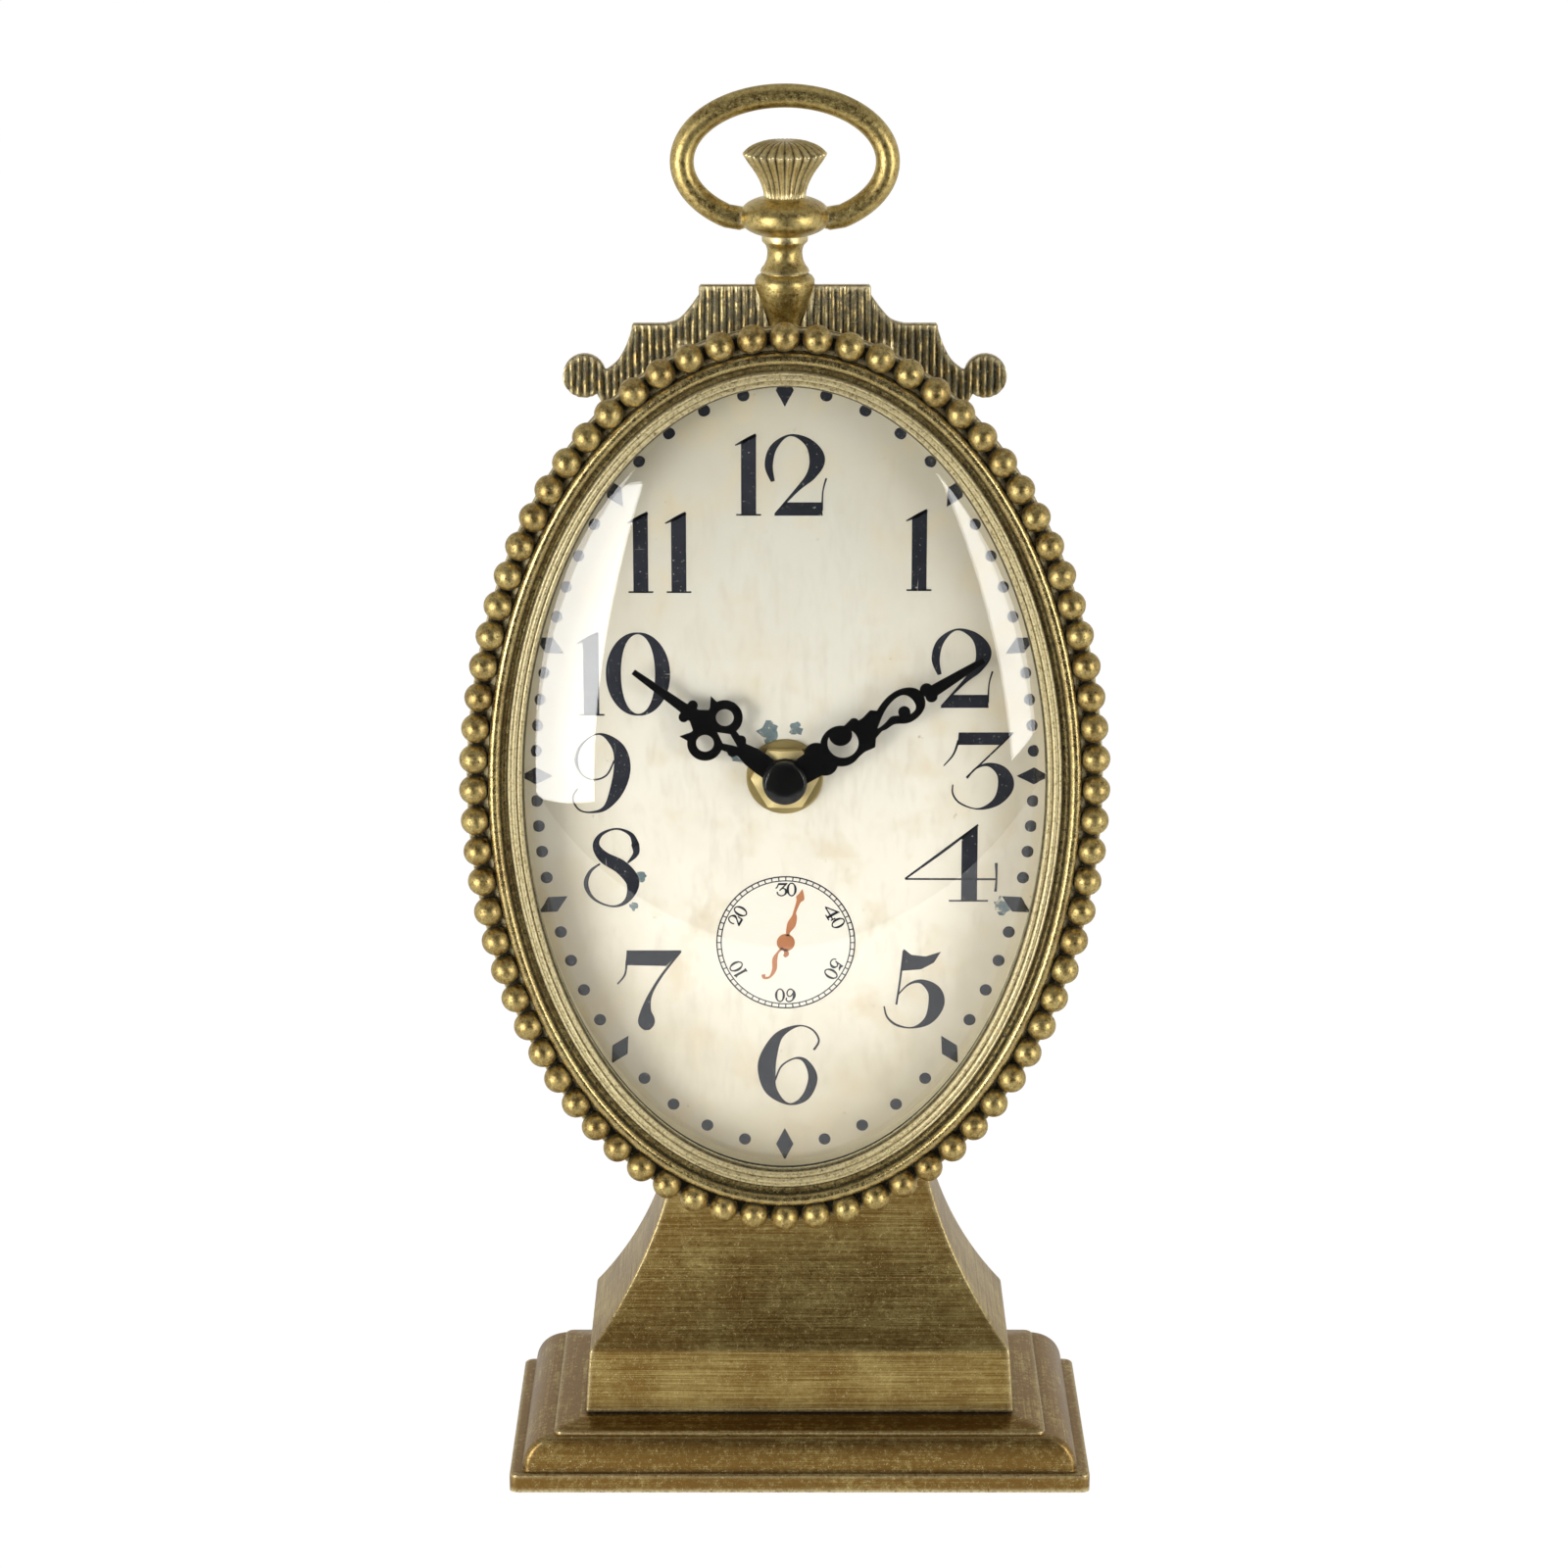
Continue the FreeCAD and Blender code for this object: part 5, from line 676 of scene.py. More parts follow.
class CLOCK_OT_pedestal(bpy.types.Operator):
    """Hollow-sided pedestal that carries the case"""
    bl_idname = "clock.pedestal"
    bl_label = "Pedestal"

    def execute(self, context):
        block = 13.5 * MM
        draft = 0.9 * MM
        flank = 38.0 * MM
        top_x = 25.4 * MM
        top_y = 11.6 * MM
        gap = 0.5 * MM
        seat = 3.0 * MM
        steps = 26
        hollow = 2.7 * MM
        lean = 0.6
        edge = 0.5 * MM
        chain = [(seat, seat, 0), (seat, seat, gap), (0, 0, gap), (draft, draft, block)]
        run_x = size("pedestal").x / 2 - top_x - draft
        run_y = size("pedestal").y / 2 - top_y - draft
        along_x = math.hypot(run_x, flank)
        along_y = math.hypot(run_y, flank)
        for i in range(1, steps + 1):
            t = i / steps
            bow = hollow * 4 * t * (1 - t)
            chain.append((draft + run_x * t + bow * flank / along_x,
                          draft + run_y * t + bow * flank / along_y,
                          block + flank * t - bow * run_x / along_x * lean))
        chain = softened(chain[:6], edge) + chain[6:]
        body = stand_piece("pedestal_body", "pedestal", chain, corner=0.45 * MM, look="stand", crease=30)
        sunk = 1.6 * MM
        through = 100 * MM
        bm = bmesh.new()
        bmesh.ops.create_cone(bm, cap_ends=True, segments=200, radius1=1, radius2=1, depth=through)
        oval = Matrix.Diagonal((size("case_drum").x / 2 - sunk, 1, size("case_drum").z / 2 - sunk)).to_4x4()
        place = Matrix.Translation((0, 0, HUB.z)) @ oval @ UPRIGHT
        bmesh.ops.transform(bm, matrix=place, verts=bm.verts)
        shape_with(body, "DIFFERENCE", bm, "stand")
        return {"FINISHED"}


class CLOCK_OT_felt(bpy.types.Operator):
    """Felt under the foot"""
    bl_idname = "clock.felt"
    bl_label = "Felt"

    def execute(self, context):
        materials = frame["nodes"]["felt_pad"].data.materials
        materials.clear()
        materials.append(FINISHES["felt"])
        return {"FINISHED"}


# Case
def oval_angles(half_x, half_z, count):
    """Angles that space points evenly along an oval, from the top."""
    fine = 7200
    lengths = [0.0]
    for i in range(fine):
        turn = TAU * (i + 0.5) / fine
        lengths.append(lengths[-1] + math.hypot(half_x * math.cos(turn), half_z * math.sin(turn)))
    found = []
    step = 0
    for index in range(count):
        wanted = lengths[-1] * index / count
        while lengths[step + 1] < wanted:
            step += 1
        found.append(TAU * step / fine)
    return found


class CLOCK_OT_case(bpy.types.Operator):
    """Oval band of the case, open in front and at the back"""
    bl_idname = "clock.case"
    bl_label = "Case"

    def execute(self, context):
        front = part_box("case_drum")[0].y
        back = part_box("case_drum")[1].y
        out_front = size("case_drum").x / 2 - OPEN_X
        taper = 1.6 * MM
        out_back = out_front - taper
        wall = 2.2 * MM
        soft = 0.9 * MM
        rows = 12
        band = [(out_front + (out_back - out_front) * i / rows, front + (back - soft - front) * i / rows)
                for i in range(rows + 1)]
        rim = arc((out_back - soft, back - soft), soft, 30, 90, 2)
        inside = [(out_back - wall, back), (out_front - wall, front)]
        bm = bmesh.new()
        oval_ring(bm, band + rim + inside)
        place_piece("case_band", bm, "case", "case_drum")
        return {"FINISHED"}


class CLOCK_OT_beads(bpy.types.Operator):
    """Rim with one ring of beads"""
    bl_idname = "clock.beads"
    bl_label = "Beads"

    def execute(self, context):
        s = case_sizes()
        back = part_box("bead_rim")[1].y
        flange = 2.6 * MM
        flange_y = back - flange
        inner = 7.1 * MM
        outer = 11.3 * MM
        dip = 0.35 * MM
        bm = bmesh.new()
        profile = [(inner, back), (inner, flange_y), (inner + 0.8 * MM, flange_y + dip),
                   (outer - 0.9 * MM, flange_y + dip), (outer - 0.3 * MM, flange_y),
                   (outer, flange_y + 0.4 * MM), (outer, back)]
        # The whole flange between the beads is darkened: painted shade between the beads, with tarnish.
        oval_ring(bm, profile, 200, lambda out: 0.55)
        place_piece("bead_flange", bm, "rim", "bead_rim")
        rng = random.Random(7)
        bm = bmesh.new()
        stand_out = 1.35 * MM
        centre_y = flange_y - stand_out
        half_x = OPEN_X + s.bead_out
        half_z = OPEN_Z + s.bead_out
        for turn in oval_angles(half_x, half_z, s.bead_count):
            spot = Vector((half_x * math.sin(turn), centre_y, HUB.z + half_z * math.cos(turn)))
            shape = Matrix.Diagonal([rng.uniform(0.97, 1.0) for _ in range(3)]).to_4x4()
            spin = Matrix.Rotation(rng.uniform(0, TAU), 4, "Y")
            bmesh.ops.create_uvsphere(bm, u_segments=24, v_segments=16, radius=s.bead_radius,
                                      matrix=Matrix.Translation(spot) @ spin @ shape)
        place_piece("bead_row", bm, "beads", None, crease=80)
        return {"FINISHED"}


class CLOCK_OT_bezel(bpy.types.Operator):
    """Moulded bezel: an outer roll, a cove and three reeds round the glass"""
    bl_idname = "clock.bezel"
    bl_label = "Bezel"

    def execute(self, context):
        s = case_sizes()
        roll = s.roll_radius
        groove = 0.18 * MM
        cove = 0.7 * MM
        ledge = 1.6 * MM
        roll_y = SEAT_Y - 4.75 * MM
        profile = [(BEZEL_WIDTH, SEAT_Y)] + arc((BEZEL_WIDTH - roll, roll_y), roll, 0, -180, 12)
        inner = BEZEL_WIDTH - 2 * roll
        reed_y = SEAT_Y - 4.5 * MM
        profile += [(inner - 0.05 * MM, roll_y + 0.45 * MM)]
        profile += arc((inner - 0.85 * MM, reed_y + 0.15 * MM), cove, 40, 140, 8)
        edge = inner - 1.6 * MM
        for width, drop in ((0.5 * MM, 0.0), (1.1 * MM, 0.25 * MM), (1.1 * MM, 0.7 * MM)):
            profile += [(edge, reed_y + drop + groove)]
            profile += arc((edge - width / 2, reed_y + drop), width / 2, -25, -155, 7)
            edge -= width
            profile += [(edge, reed_y + drop + groove)]
        profile += [(0.25 * MM, reed_y + 1.2 * MM), (0.0, reed_y + 1.6 * MM), (0.0, REBATE_Y),
                    (ledge, REBATE_Y), (ledge, SEAT_Y)]
        # Millimetres out from the opening, and the darkening there: dirt and painted shade, darker in the
        # grooves
        bands = ((0.0, 1.0), (0.35, 0.85), (0.9, 0.6), (1.35, 0.4), (1.5, 0.9), (1.8, 0.4), (2.45, 0.9),
                 (2.8, 0.35), (3.2, 0.9), (3.7, 0.35), (4.3, 0.6), (4.7, 1.0), (4.95, 0.1), (7.1, 0.0))

        def grime_and_shade(out):
            for (start, value), (end, after) in zip(bands, bands[1:]):
                if out < end * MM:
                    share = (out / MM - start) / (end - start)
                    return value + (after - value) * max(0.0, share)
            return 0.0

        bm = bmesh.new()
        oval_ring(bm, profile, 240, grime_and_shade)
        place_piece("bezel_moulding", bm, "bezel", "bezel_ring", crease=42)
        return {"FINISHED"}


class CLOCK_OT_glass(bpy.types.Operator):
    """Domed glass with a flat rim, and the lining ring behind it"""
    bl_idname = "clock.glass"
    bl_label = "Glass"

    def execute(self, context):
        s = case_sizes()
        play = 0.2 * MM
        overlap = 1.4 * MM
        half = OPEN_X - play
        steps = 40
        outside = [(half * i / steps, REBATE_Y - s.glass_rise * (1 - (i / steps) ** s.glass_shape))
                   for i in range(steps + 1)]
        inside = [(x, y + s.glass_thickness) for x, y in reversed(outside)]
        rim = OPEN_X + overlap
        profile = outside + [(rim, REBATE_Y), (rim, REBATE_Y + s.glass_thickness)] + inside
        bm = bmesh.new()
        spun_round_hub(bm, profile, 180, False)
        stretch = (half + OPEN_Z - OPEN_X) / half
        for vert in bm.verts:
            rise = vert.co.z - HUB.z
            reach = math.hypot(vert.co.x, rise)
            if reach > half:
                vert.co.z += (OPEN_Z - OPEN_X) * rise / reach
            else:
                vert.co.z = HUB.z + rise * stretch
        place_piece("domed_glass", bm, "glass", "glass_lens", crease=60)
        low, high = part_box("dial_spacer")
        inner = 0.8 * MM
        outer = high.x - OPEN_X
        bevel = 0.4 * MM
        bm = bmesh.new()
        oval_ring(bm, [(inner, low.y), (outer, low.y), (outer - bevel, high.y), (inner, high.y)])
        place_piece("lining_ring", bm, "cream_lining", "dial_spacer")
        return {"FINISHED"}


class CLOCK_OT_cresting(bpy.types.Operator):
    """Two reeded plates with round ears, left and right of the neck"""
    bl_idname = "clock.cresting"
    bl_label = "Cresting"

    def execute(self, context):
        low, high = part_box("cresting_plate")
        for side, name in ((1, "cresting_right"), (-1, "cresting_left")):
            bm = self.reeded_slab(side, low, high)
            slab = place_piece(name, bm, "cresting", None, crease=60)
            shape_with(slab, "INTERSECT", self.plate(side, low, high), "cresting")
            if side == 1:
                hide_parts("cresting_plate")
        return {"FINISHED"}

    def plate(self, side, low, high):
        """Prism of the outline: step, shoulder and ear."""
        top = high.z
        case_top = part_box("case_drum")[1].z
        shoulder = case_top + 1.5 * MM
        inner = 5.5 * MM
        ear = Vector((38.9 * MM, case_top - 8.6 * MM))
        ear_radius = 4.15 * MM
        points = [(inner, top), (16.3 * MM, top), (16.6 * MM, top - 0.4 * MM)]
        points += curve_through([(16.6 * MM, top - 1.9 * MM), (18.5 * MM, shoulder + 3.0 * MM),
                                 (20.6 * MM, shoulder + 0.8 * MM), (23.2 * MM, shoulder)], 4)
        points += [(29.3 * MM, shoulder), (29.6 * MM, shoulder - 0.4 * MM)]
        points += curve_through([(29.7 * MM, shoulder - 1.2 * MM), (30.8 * MM, shoulder - 4.4 * MM),
                                 (32.4 * MM, shoulder - 7.2 * MM), (34.4 * MM, case_top - 7.4 * MM)], 4)
        points += arc(ear, ear_radius, 165, -125, 22)
        points += [(33.0 * MM, case_top - 18 * MM), (3.1 * MM, case_top - 6 * MM),
                   (3.1 * MM, case_top + 1.5 * MM)]
        bm = bmesh.new()
        verts, _ = outline(bm, [(side * x, low.y - MM, z) for x, z in points])
        moved = raised(bm, [bm.faces.new(verts)])
        bmesh.ops.translate(bm, verts=moved, vec=(0, high.y - low.y + 2 * MM, 0))
        return bm

    def reeded_slab(self, side, low, high):
        """Slab whose front waves in upright reeds, a little uneven."""
        pitch = 1.4 * MM
        reed_depth = 0.6 * MM
        left = 2.8 * MM
        right = 45.0 * MM
        columns = int((right - left) / pitch * 6)
        rows = 26
        rng = random.Random(11 + side)
        drift = [rng.uniform(-0.12, 0.12) * MM for _ in range(60)]
        bm = bmesh.new()
        grid = bmesh.ops.create_grid(bm, x_segments=columns, y_segments=rows, size=0.5)
        bottom = low.z - MM
        height = high.z - bottom + MM
        for vert in grid["verts"]:
            x = left + (vert.co.x + 0.5) * (right - left)
            z = bottom + (vert.co.y + 0.5) * height
            reed = int(x / pitch)
            wobble = drift[reed] * math.sin(z / MM * 0.45 + reed * 1.7)
            wave = abs(math.sin(math.pi * (x + wobble) / pitch))
            y = low.y + reed_depth * (1 - wave ** 0.55) + abs(drift[reed]) * 0.8
            vert.co = (side * x, y, z)
        for vert in raised(bm, list(bm.faces)):
            vert.co.y = high.y
        return bm


# Dial: strokes of (x, y, half width) points, ovals and flat plates, in shares of a figure's height
GLYPH_HAIR = 0.0105
THINNEST = GLYPH_HAIR * 0.6
GLYPHS = {
    "0": {"arcs": [(0.37, 0.5, 0.285, 0.488, 0, 360, 0.088, 0.088)]},
    "1": {"strokes": [[(-0.16, 0.862, 0.008), (-0.03, 0.925, 0.022), (0.09, 0.99, 0.02)],
                      [(-0.15, 0.011, 0.011), (0.15, 0.011, 0.011)]],
          "plates": [[(-0.09, 0.0), (0.09, 0.0), (0.09, 1.0), (-0.09, 0.915)]]},
    "2": {"strokes": [[(0.10, 0.42, 0.024), (0.05, 0.62, 0.05), (0.11, 0.84, 0.042), (0.30, 0.985, 0.012),
                       (0.52, 0.90, 0.05), (0.63, 0.70, 0.095), (0.56, 0.50, 0.06), (0.40, 0.33, 0.026),
                       (0.12, 0.02, 0.008)],
                      [(0.69, 0.06, 0.012), (0.70, 0.30, 0.009), (0.74, 0.46, 0.012)]],
          "plates": [[(0.11, 0.0), (0.70, 0.0), (0.68, 0.165), (0.25, 0.165)]]},
    "3": {"strokes": [[(0.18, 0.9, 0.016), (0.12, 0.72, 0.012), (0.0, 0.57, 0.008)],
                      [(0.84, 0.985, 0.012), (0.56, 0.70, 0.012), (0.28, 0.42, 0.01)],
                      [(0.29, 0.41, 0.01), (0.40, 0.54, 0.012), (0.56, 0.585, 0.026), (0.72, 0.49, 0.075),
                       (0.77, 0.31, 0.10), (0.66, 0.11, 0.055), (0.44, 0.014, 0.012), (0.22, 0.08, 0.012),
                       (0.12, 0.20, 0.011), (0.115, 0.33, 0.009)]],
          "plates": [[(0.17, 0.84), (0.72, 0.84), (0.86, 1.0), (0.18, 1.0)]]},
    "4": {"strokes": [[(0.89, 0.99, 0.012), (0.45, 0.64, 0.018), (0.0, 0.295, 0.012)],
                      [(0.0, 0.292, 0.011), (1.13, 0.29, 0.013)],
                      [(0.54, 0.011, 0.011), (1.02, 0.011, 0.011)],
                      [(1.11, 0.13, 0.018), (1.12, 0.29, 0.012), (1.115, 0.50, 0.018)]],
          "plates": [[(0.69, 0.0), (0.885, 0.0), (0.885, 0.995), (0.69, 0.84)]]},
    "5": {"strokes": [[(0.24, 0.98, 0.012), (0.20, 0.62, 0.012), (0.155, 0.30, 0.012)],
                      [(0.17, 0.42, 0.009), (0.30, 0.555, 0.012), (0.45, 0.59, 0.028), (0.60, 0.48, 0.078),
                       (0.63, 0.31, 0.095), (0.54, 0.11, 0.055), (0.36, 0.013, 0.012), (0.17, 0.04, 0.014),
                       (0.05, 0.14, 0.012), (0.01, 0.28, 0.009)]],
          "plates": [[(0.24, 1.0), (0.22, 0.725), (0.45, 0.745), (0.60, 0.83), (0.68, 0.965), (0.50, 0.905),
                      (0.33, 0.925)]]},
    "6": {"strokes": [[(0.66, 0.69, 0.013), (0.72, 0.81, 0.012), (0.64, 0.945, 0.011), (0.47, 0.99, 0.012),
                       (0.25, 0.87, 0.05), (0.13, 0.62, 0.098), (0.105, 0.42, 0.105), (0.16, 0.18, 0.07),
                       (0.36, 0.013, 0.013), (0.56, 0.10, 0.045), (0.65, 0.34, 0.055), (0.57, 0.54, 0.03),
                       (0.445, 0.587, 0.012), (0.28, 0.49, 0.011), (0.205, 0.31, 0.01)]]},
    "7": {"strokes": [[(0.11, 0.88, 0.012), (0.09, 0.70, 0.012), (0.0, 0.575, 0.009)],
                      [(0.745, 0.98, 0.012), (0.53, 0.70, 0.016), (0.39, 0.46, 0.022), (0.335, 0.27, 0.055),
                       (0.335, 0.14, 0.098), (0.34, 0.06, 0.085), (0.345, 0.004, 0.03)]],
          "plates": [[(0.10, 0.81), (0.575, 0.80), (0.755, 0.993), (0.11, 0.993)]]},
    "8": {"strokes": [[(0.63, 0.78, 0.045), (0.57, 0.92, 0.026), (0.40, 0.988, 0.012), (0.22, 0.92, 0.022),
                       (0.155, 0.78, 0.042), (0.25, 0.63, 0.072), (0.46, 0.50, 0.088), (0.59, 0.31, 0.08),
                       (0.52, 0.09, 0.032), (0.35, 0.012, 0.012), (0.13, 0.10, 0.016), (0.03, 0.28, 0.028),
                       (0.08, 0.45, 0.02), (0.20, 0.55, 0.01)],
                      [(0.62, 0.80, 0.048), (0.63, 0.68, 0.036), (0.53, 0.56, 0.01)]]},
    "9": {"strokes": [[(0.07, 0.31, 0.013), (0.012, 0.19, 0.012), (0.08, 0.05, 0.011), (0.22, 0.013, 0.012),
                       (0.40, 0.07, 0.032), (0.54, 0.30, 0.085), (0.605, 0.58, 0.10), (0.55, 0.83, 0.07),
                       (0.34, 0.988, 0.012), (0.13, 0.86, 0.016), (0.06, 0.65, 0.022), (0.13, 0.48, 0.012),
                       (0.27, 0.42, 0.011), (0.42, 0.48, 0.011), (0.51, 0.66, 0.01)]]},
}


def ribbon(bm, stroke, to_dial, steps=7, hair=THINNEST):
    """Flat band along (x, y, half width) points, grown edge by edge."""
    chain = curve_through(stroke, steps) if len(stroke) > 2 else stroke
    before = None
    for index, (x, y, half) in enumerate(chain):
        ahead = chain[min(index + 1, len(chain) - 1)]
        behind = chain[max(index - 1, 0)]
        along = Vector((ahead[0] - behind[0], ahead[1] - behind[1]))
        if along.length == 0:
            continue
        across = Vector((-along.y, along.x)).normalized() * max(half, hair)
        left = to_dial(x + across.x, y + across.y)
        right = to_dial(x - across.x, y - across.y)
        if before is None:
            before = bm.edges.new((bm.verts.new(left), bm.verts.new(right)))
            continue
        start = list(before.verts)
        grown = bmesh.ops.extrude_edge_only(bm, edges=[before])["geom"]
        before = next(item for item in grown if isinstance(item, bmesh.types.BMEdge)
                      and not any(v in start for v in item.verts))
        pair = list(before.verts)
        if (pair[0].co - start[0].co).length > 1e-12:
            pair.reverse()
        pair[0].co = left
        pair[1].co = right


def patch(bm, points, to_dial):
    bm.faces.new([bm.verts.new(to_dial(x, y)) for x, y in points])


def oval_stroke(cx, cy, rx, ry, start, end, thick_right, thick_left, steps=48):
    """Round stroke, thick at its sides and thin at its top and bottom."""
    points = []
    for i in range(steps + 1):
        turn = math.radians(start + (end - start) * i / steps)
        side = math.cos(turn)
        thick = thick_right if side > 0 else thick_left
        points.append((cx + rx * side, cy + ry * math.sin(turn),
                       GLYPH_HAIR + (thick - GLYPH_HAIR) * abs(side) ** 1.5))
    return points


def draw_glyph(bm, figure, left, bottom, tall, turn=0.0, pivot=(0.0, 0.0), hair=THINNEST):
    """Draws a figure on the dial: left and bottom are metres from the pivot."""
    cos, sin = math.cos(turn), math.sin(turn)

    def to_dial(x, y):
        a = left + x * tall
        b = bottom + y * tall
        return (pivot[0] + a * cos - b * sin, 0.0, HUB.z + pivot[1] + a * sin + b * cos)

    shape = GLYPHS[figure]
    for stroke in shape.get("strokes", ()):
        ribbon(bm, stroke, to_dial, 7, hair)
    for values in shape.get("arcs", ()):
        ribbon(bm, oval_stroke(*values), to_dial, 1, hair)
    for points in shape.get("plates", ()):
        patch(bm, points, to_dial)


def disc_print(bm, segments, radius, place):
    bmesh.ops.create_circle(bm, cap_ends=True, segments=segments, radius=radius, matrix=place)


def print_piece(name, bm, look, lift=1.0):
    """Lays flat print on the dial and gives it the ink's thickness."""
    ink = dial_sizes().print_height
    bmesh.ops.recalc_face_normals(bm, faces=bm.faces)
    moved = set(raised(bm, list(bm.faces)))
    for vert in bm.verts:
        vert.co.y = DIAL_Y - (ink * lift if vert in moved else 0.0)
    bmesh.ops.recalc_face_normals(bm, faces=bm.faces)
    place_piece(name, bm, look, None, crease=30, tidy=False)


# Name, each figure with its left edge, bottom above the hub and height, all in millimetres
NUMERALS = (
    ("12", (("1", -7.0), ("2", -3.9)), 52.5, 16.1),
    ("1", (("1", 26.1),), 37.5, 16.2),
    ("2", (("2", 28.7),), 13.9, 16.1),
    ("3", (("3", 31.3),), -7.0, 15.9),
    ("4", (("4", 23.9),), -26.0, 16.1),
    ("5", (("5", 19.7),), -52.7, 16.8),
    ("6", (("6", -5.4),), -69.0, 17.0),
    ("7", (("7", -33.4),), -53.1, 17.0),
    ("8", (("8", -39.9),), -27.2, 16.5),
    ("9", (("9", -42.0),), -7.7, 16.5),
    ("10", (("1", -37.9), ("0", -35.0)), 12.3, 16.9),
    ("11", (("1", -28.0), ("1", -20.6)), 37.1, 16.1),
)


class CLOCK_OT_dial(bpy.types.Operator):
    """Aged dial card with a hole for the bush"""
    bl_idname = "clock.dial"
    bl_label = "Dial card"

    def execute(self, context):
        low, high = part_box("dial_card")
        bm = bmesh.new()
        hole, rim = [
            bmesh.ops.create_circle(bm, segments=128, radius=radius, matrix=UPRIGHT)["verts"]
            for radius in (BUSH_RADIUS, size("dial_card").x / 2)
        ]
        bmesh.ops.scale(bm, verts=rim, vec=(1, 1, size("dial_card").z / size("dial_card").x))
        bmesh.ops.bridge_loops(bm, edges=bm.edges[:])
        bmesh.ops.translate(bm, verts=hole + rim, vec=(0, low.y, HUB.z))
        bmesh.ops.translate(bm, verts=raised(bm, list(bm.faces)), vec=(0, high.y - low.y, 0))
        place_piece("aged_dial", bm, "card", "dial_card")
        return {"FINISHED"}


class CLOCK_OT_numerals(bpy.types.Operator):
    """Hour numerals, each in its own place on the dial"""
    bl_idname = "clock.numerals"
    bl_label = "Numerals"

    def execute(self, context):
        for name, figures, bottom, tall in NUMERALS:
            bm = bmesh.new()
            for figure, left in figures:
                draw_glyph(bm, figure, left * MM, bottom * MM, tall * MM)
            print_piece("numeral_" + name, bm, "ink")
        return {"FINISHED"}


class CLOCK_OT_minute_track(bpy.types.Operator):
    """Minute dots, with a diamond at each hour"""
    bl_idname = "clock.minute_track"
    bl_label = "Minute track"

    def execute(self, context):
        s = dial_sizes()
        diamond = Matrix.Diagonal((1.75 * MM, 3.4 * MM, 1.0)).to_4x4()
        dots = bmesh.new()
        diamonds = bmesh.new()
        for minute in range(60):
            turn = math.radians(6 * minute)
            reach = 1 / math.hypot(math.sin(turn) / s.track_x, math.cos(turn) / s.track_z)
            spot = Vector((reach * math.sin(turn), 0, HUB.z + reach * math.cos(turn)))
            place = Matrix.Translation(spot) @ Matrix.Rotation(turn, 4, "Y") @ UPRIGHT
            if minute % 5:
                disc_print(dots, 24, s.dot_radius, place)
            else:
                disc_print(diamonds, 4, 1.0, place @ diamond)
        print_piece("minute_dots", dots, "ink")
        print_piece("hour_diamonds", diamonds, "ink")
        return {"FINISHED"}


class CLOCK_OT_small_circle(bpy.types.Operator):
    """Printed seconds circle with its copper-coloured hand"""
    bl_idname = "clock.small_circle"
    bl_label = "Seconds circle"

    def execute(self, context):
        s = dial_sizes()
        middle = Vector((0.2 * MM, 0, HUB.z - 34.6 * MM))
        face = bmesh.new()
        tilt = Matrix.Translation(middle) @ UPRIGHT
        disc_print(face, 96, s.small_radius, tilt)
        print_piece("seconds_ground", face, "white_ink", lift=0.4)
        marks = bmesh.new()
        outer = s.small_radius / MM
        rings = ((outer, 0.13), (outer - 0.85, 0.11))

        def to_dial(x, y):
            return (middle.x + x * MM, 0.0, middle.z + y * MM)

        for radius, half in rings:
            ribbon(marks, [(radius * math.cos(TAU * i / 120), radius * math.sin(TAU * i / 120), half)
                           for i in range(121)], to_dial, 1)
        for tick in range(60):
            turn = TAU * tick / 60
            x, y = math.sin(turn), math.cos(turn)
            ribbon(marks, [(x * radius, y * radius, 0.11) for radius, _ in reversed(rings)], to_dial)
        tall = s.small_numeral
        margin = 1.3 * MM
        base = s.small_radius - margin - tall
        wide = {"1": 0.34, "4": 1.12}
        for number, angle in (("30", 0), ("40", 60), ("50", 120), ("60", 180), ("10", 240), ("20", 300)):
            widths = [wide.get(figure, 0.74) * tall for figure in number]
            left = -sum(widths) / 2
            for figure, width in zip(number, widths):
                shift = 0.17 * tall if figure == "1" else 0.0
                draw_glyph(marks, figure, left + shift, base, tall, -math.radians(angle),
                           (middle.x, middle.z - HUB.z), 0.05)
                left += width + 0.06 * tall
        print_piece("seconds_marks", marks, "ink", lift=1.4)
        self.copper_hand(middle)
        return {"FINISHED"}

    def copper_hand(self, middle):
        hand = bmesh.new()
        lean = math.radians(-16.5)
        boss = 1.8 * MM

        def to_dial(x, y):
            return (middle.x + (x * math.cos(lean) - y * math.sin(lean)) * MM, 0.0,
                    middle.z + (x * math.sin(lean) + y * math.cos(lean)) * MM)

        ribbon(hand, [(0.0, 11.6, 0.06), (0.1, 10.6, 0.5), (0.1, 9.7, 0.85), (0.0, 8.9, 0.45),
                      (-0.1, 6.6, 0.3), (0.1, 5.6, 0.55), (0.0, 4.0, 0.85), (-0.2, 2.4, 0.45),
                      (0.0, 1.4, 0.3)], to_dial)
        ribbon(hand, [(-0.2, -1.2, 0.3), (-0.9, -2.4, 0.22), (-1.1, -4.0, 0.5), (-0.6, -6.0, 0.45),
                      (-1.0, -7.8, 0.22), (-2.0, -8.3, 0.3), (-2.4, -7.7, 0.4)], to_dial)
        ribbon(hand, [(0.2, -1.4, 0.3), (0.8, -2.2, 0.5), (0.5, -2.9, 0.3)], to_dial)
        tilt = Matrix.Translation(middle) @ UPRIGHT
        disc_print(hand, 32, boss, tilt)
        print_piece("printed_hand", hand, "copper_ink", lift=2.0)


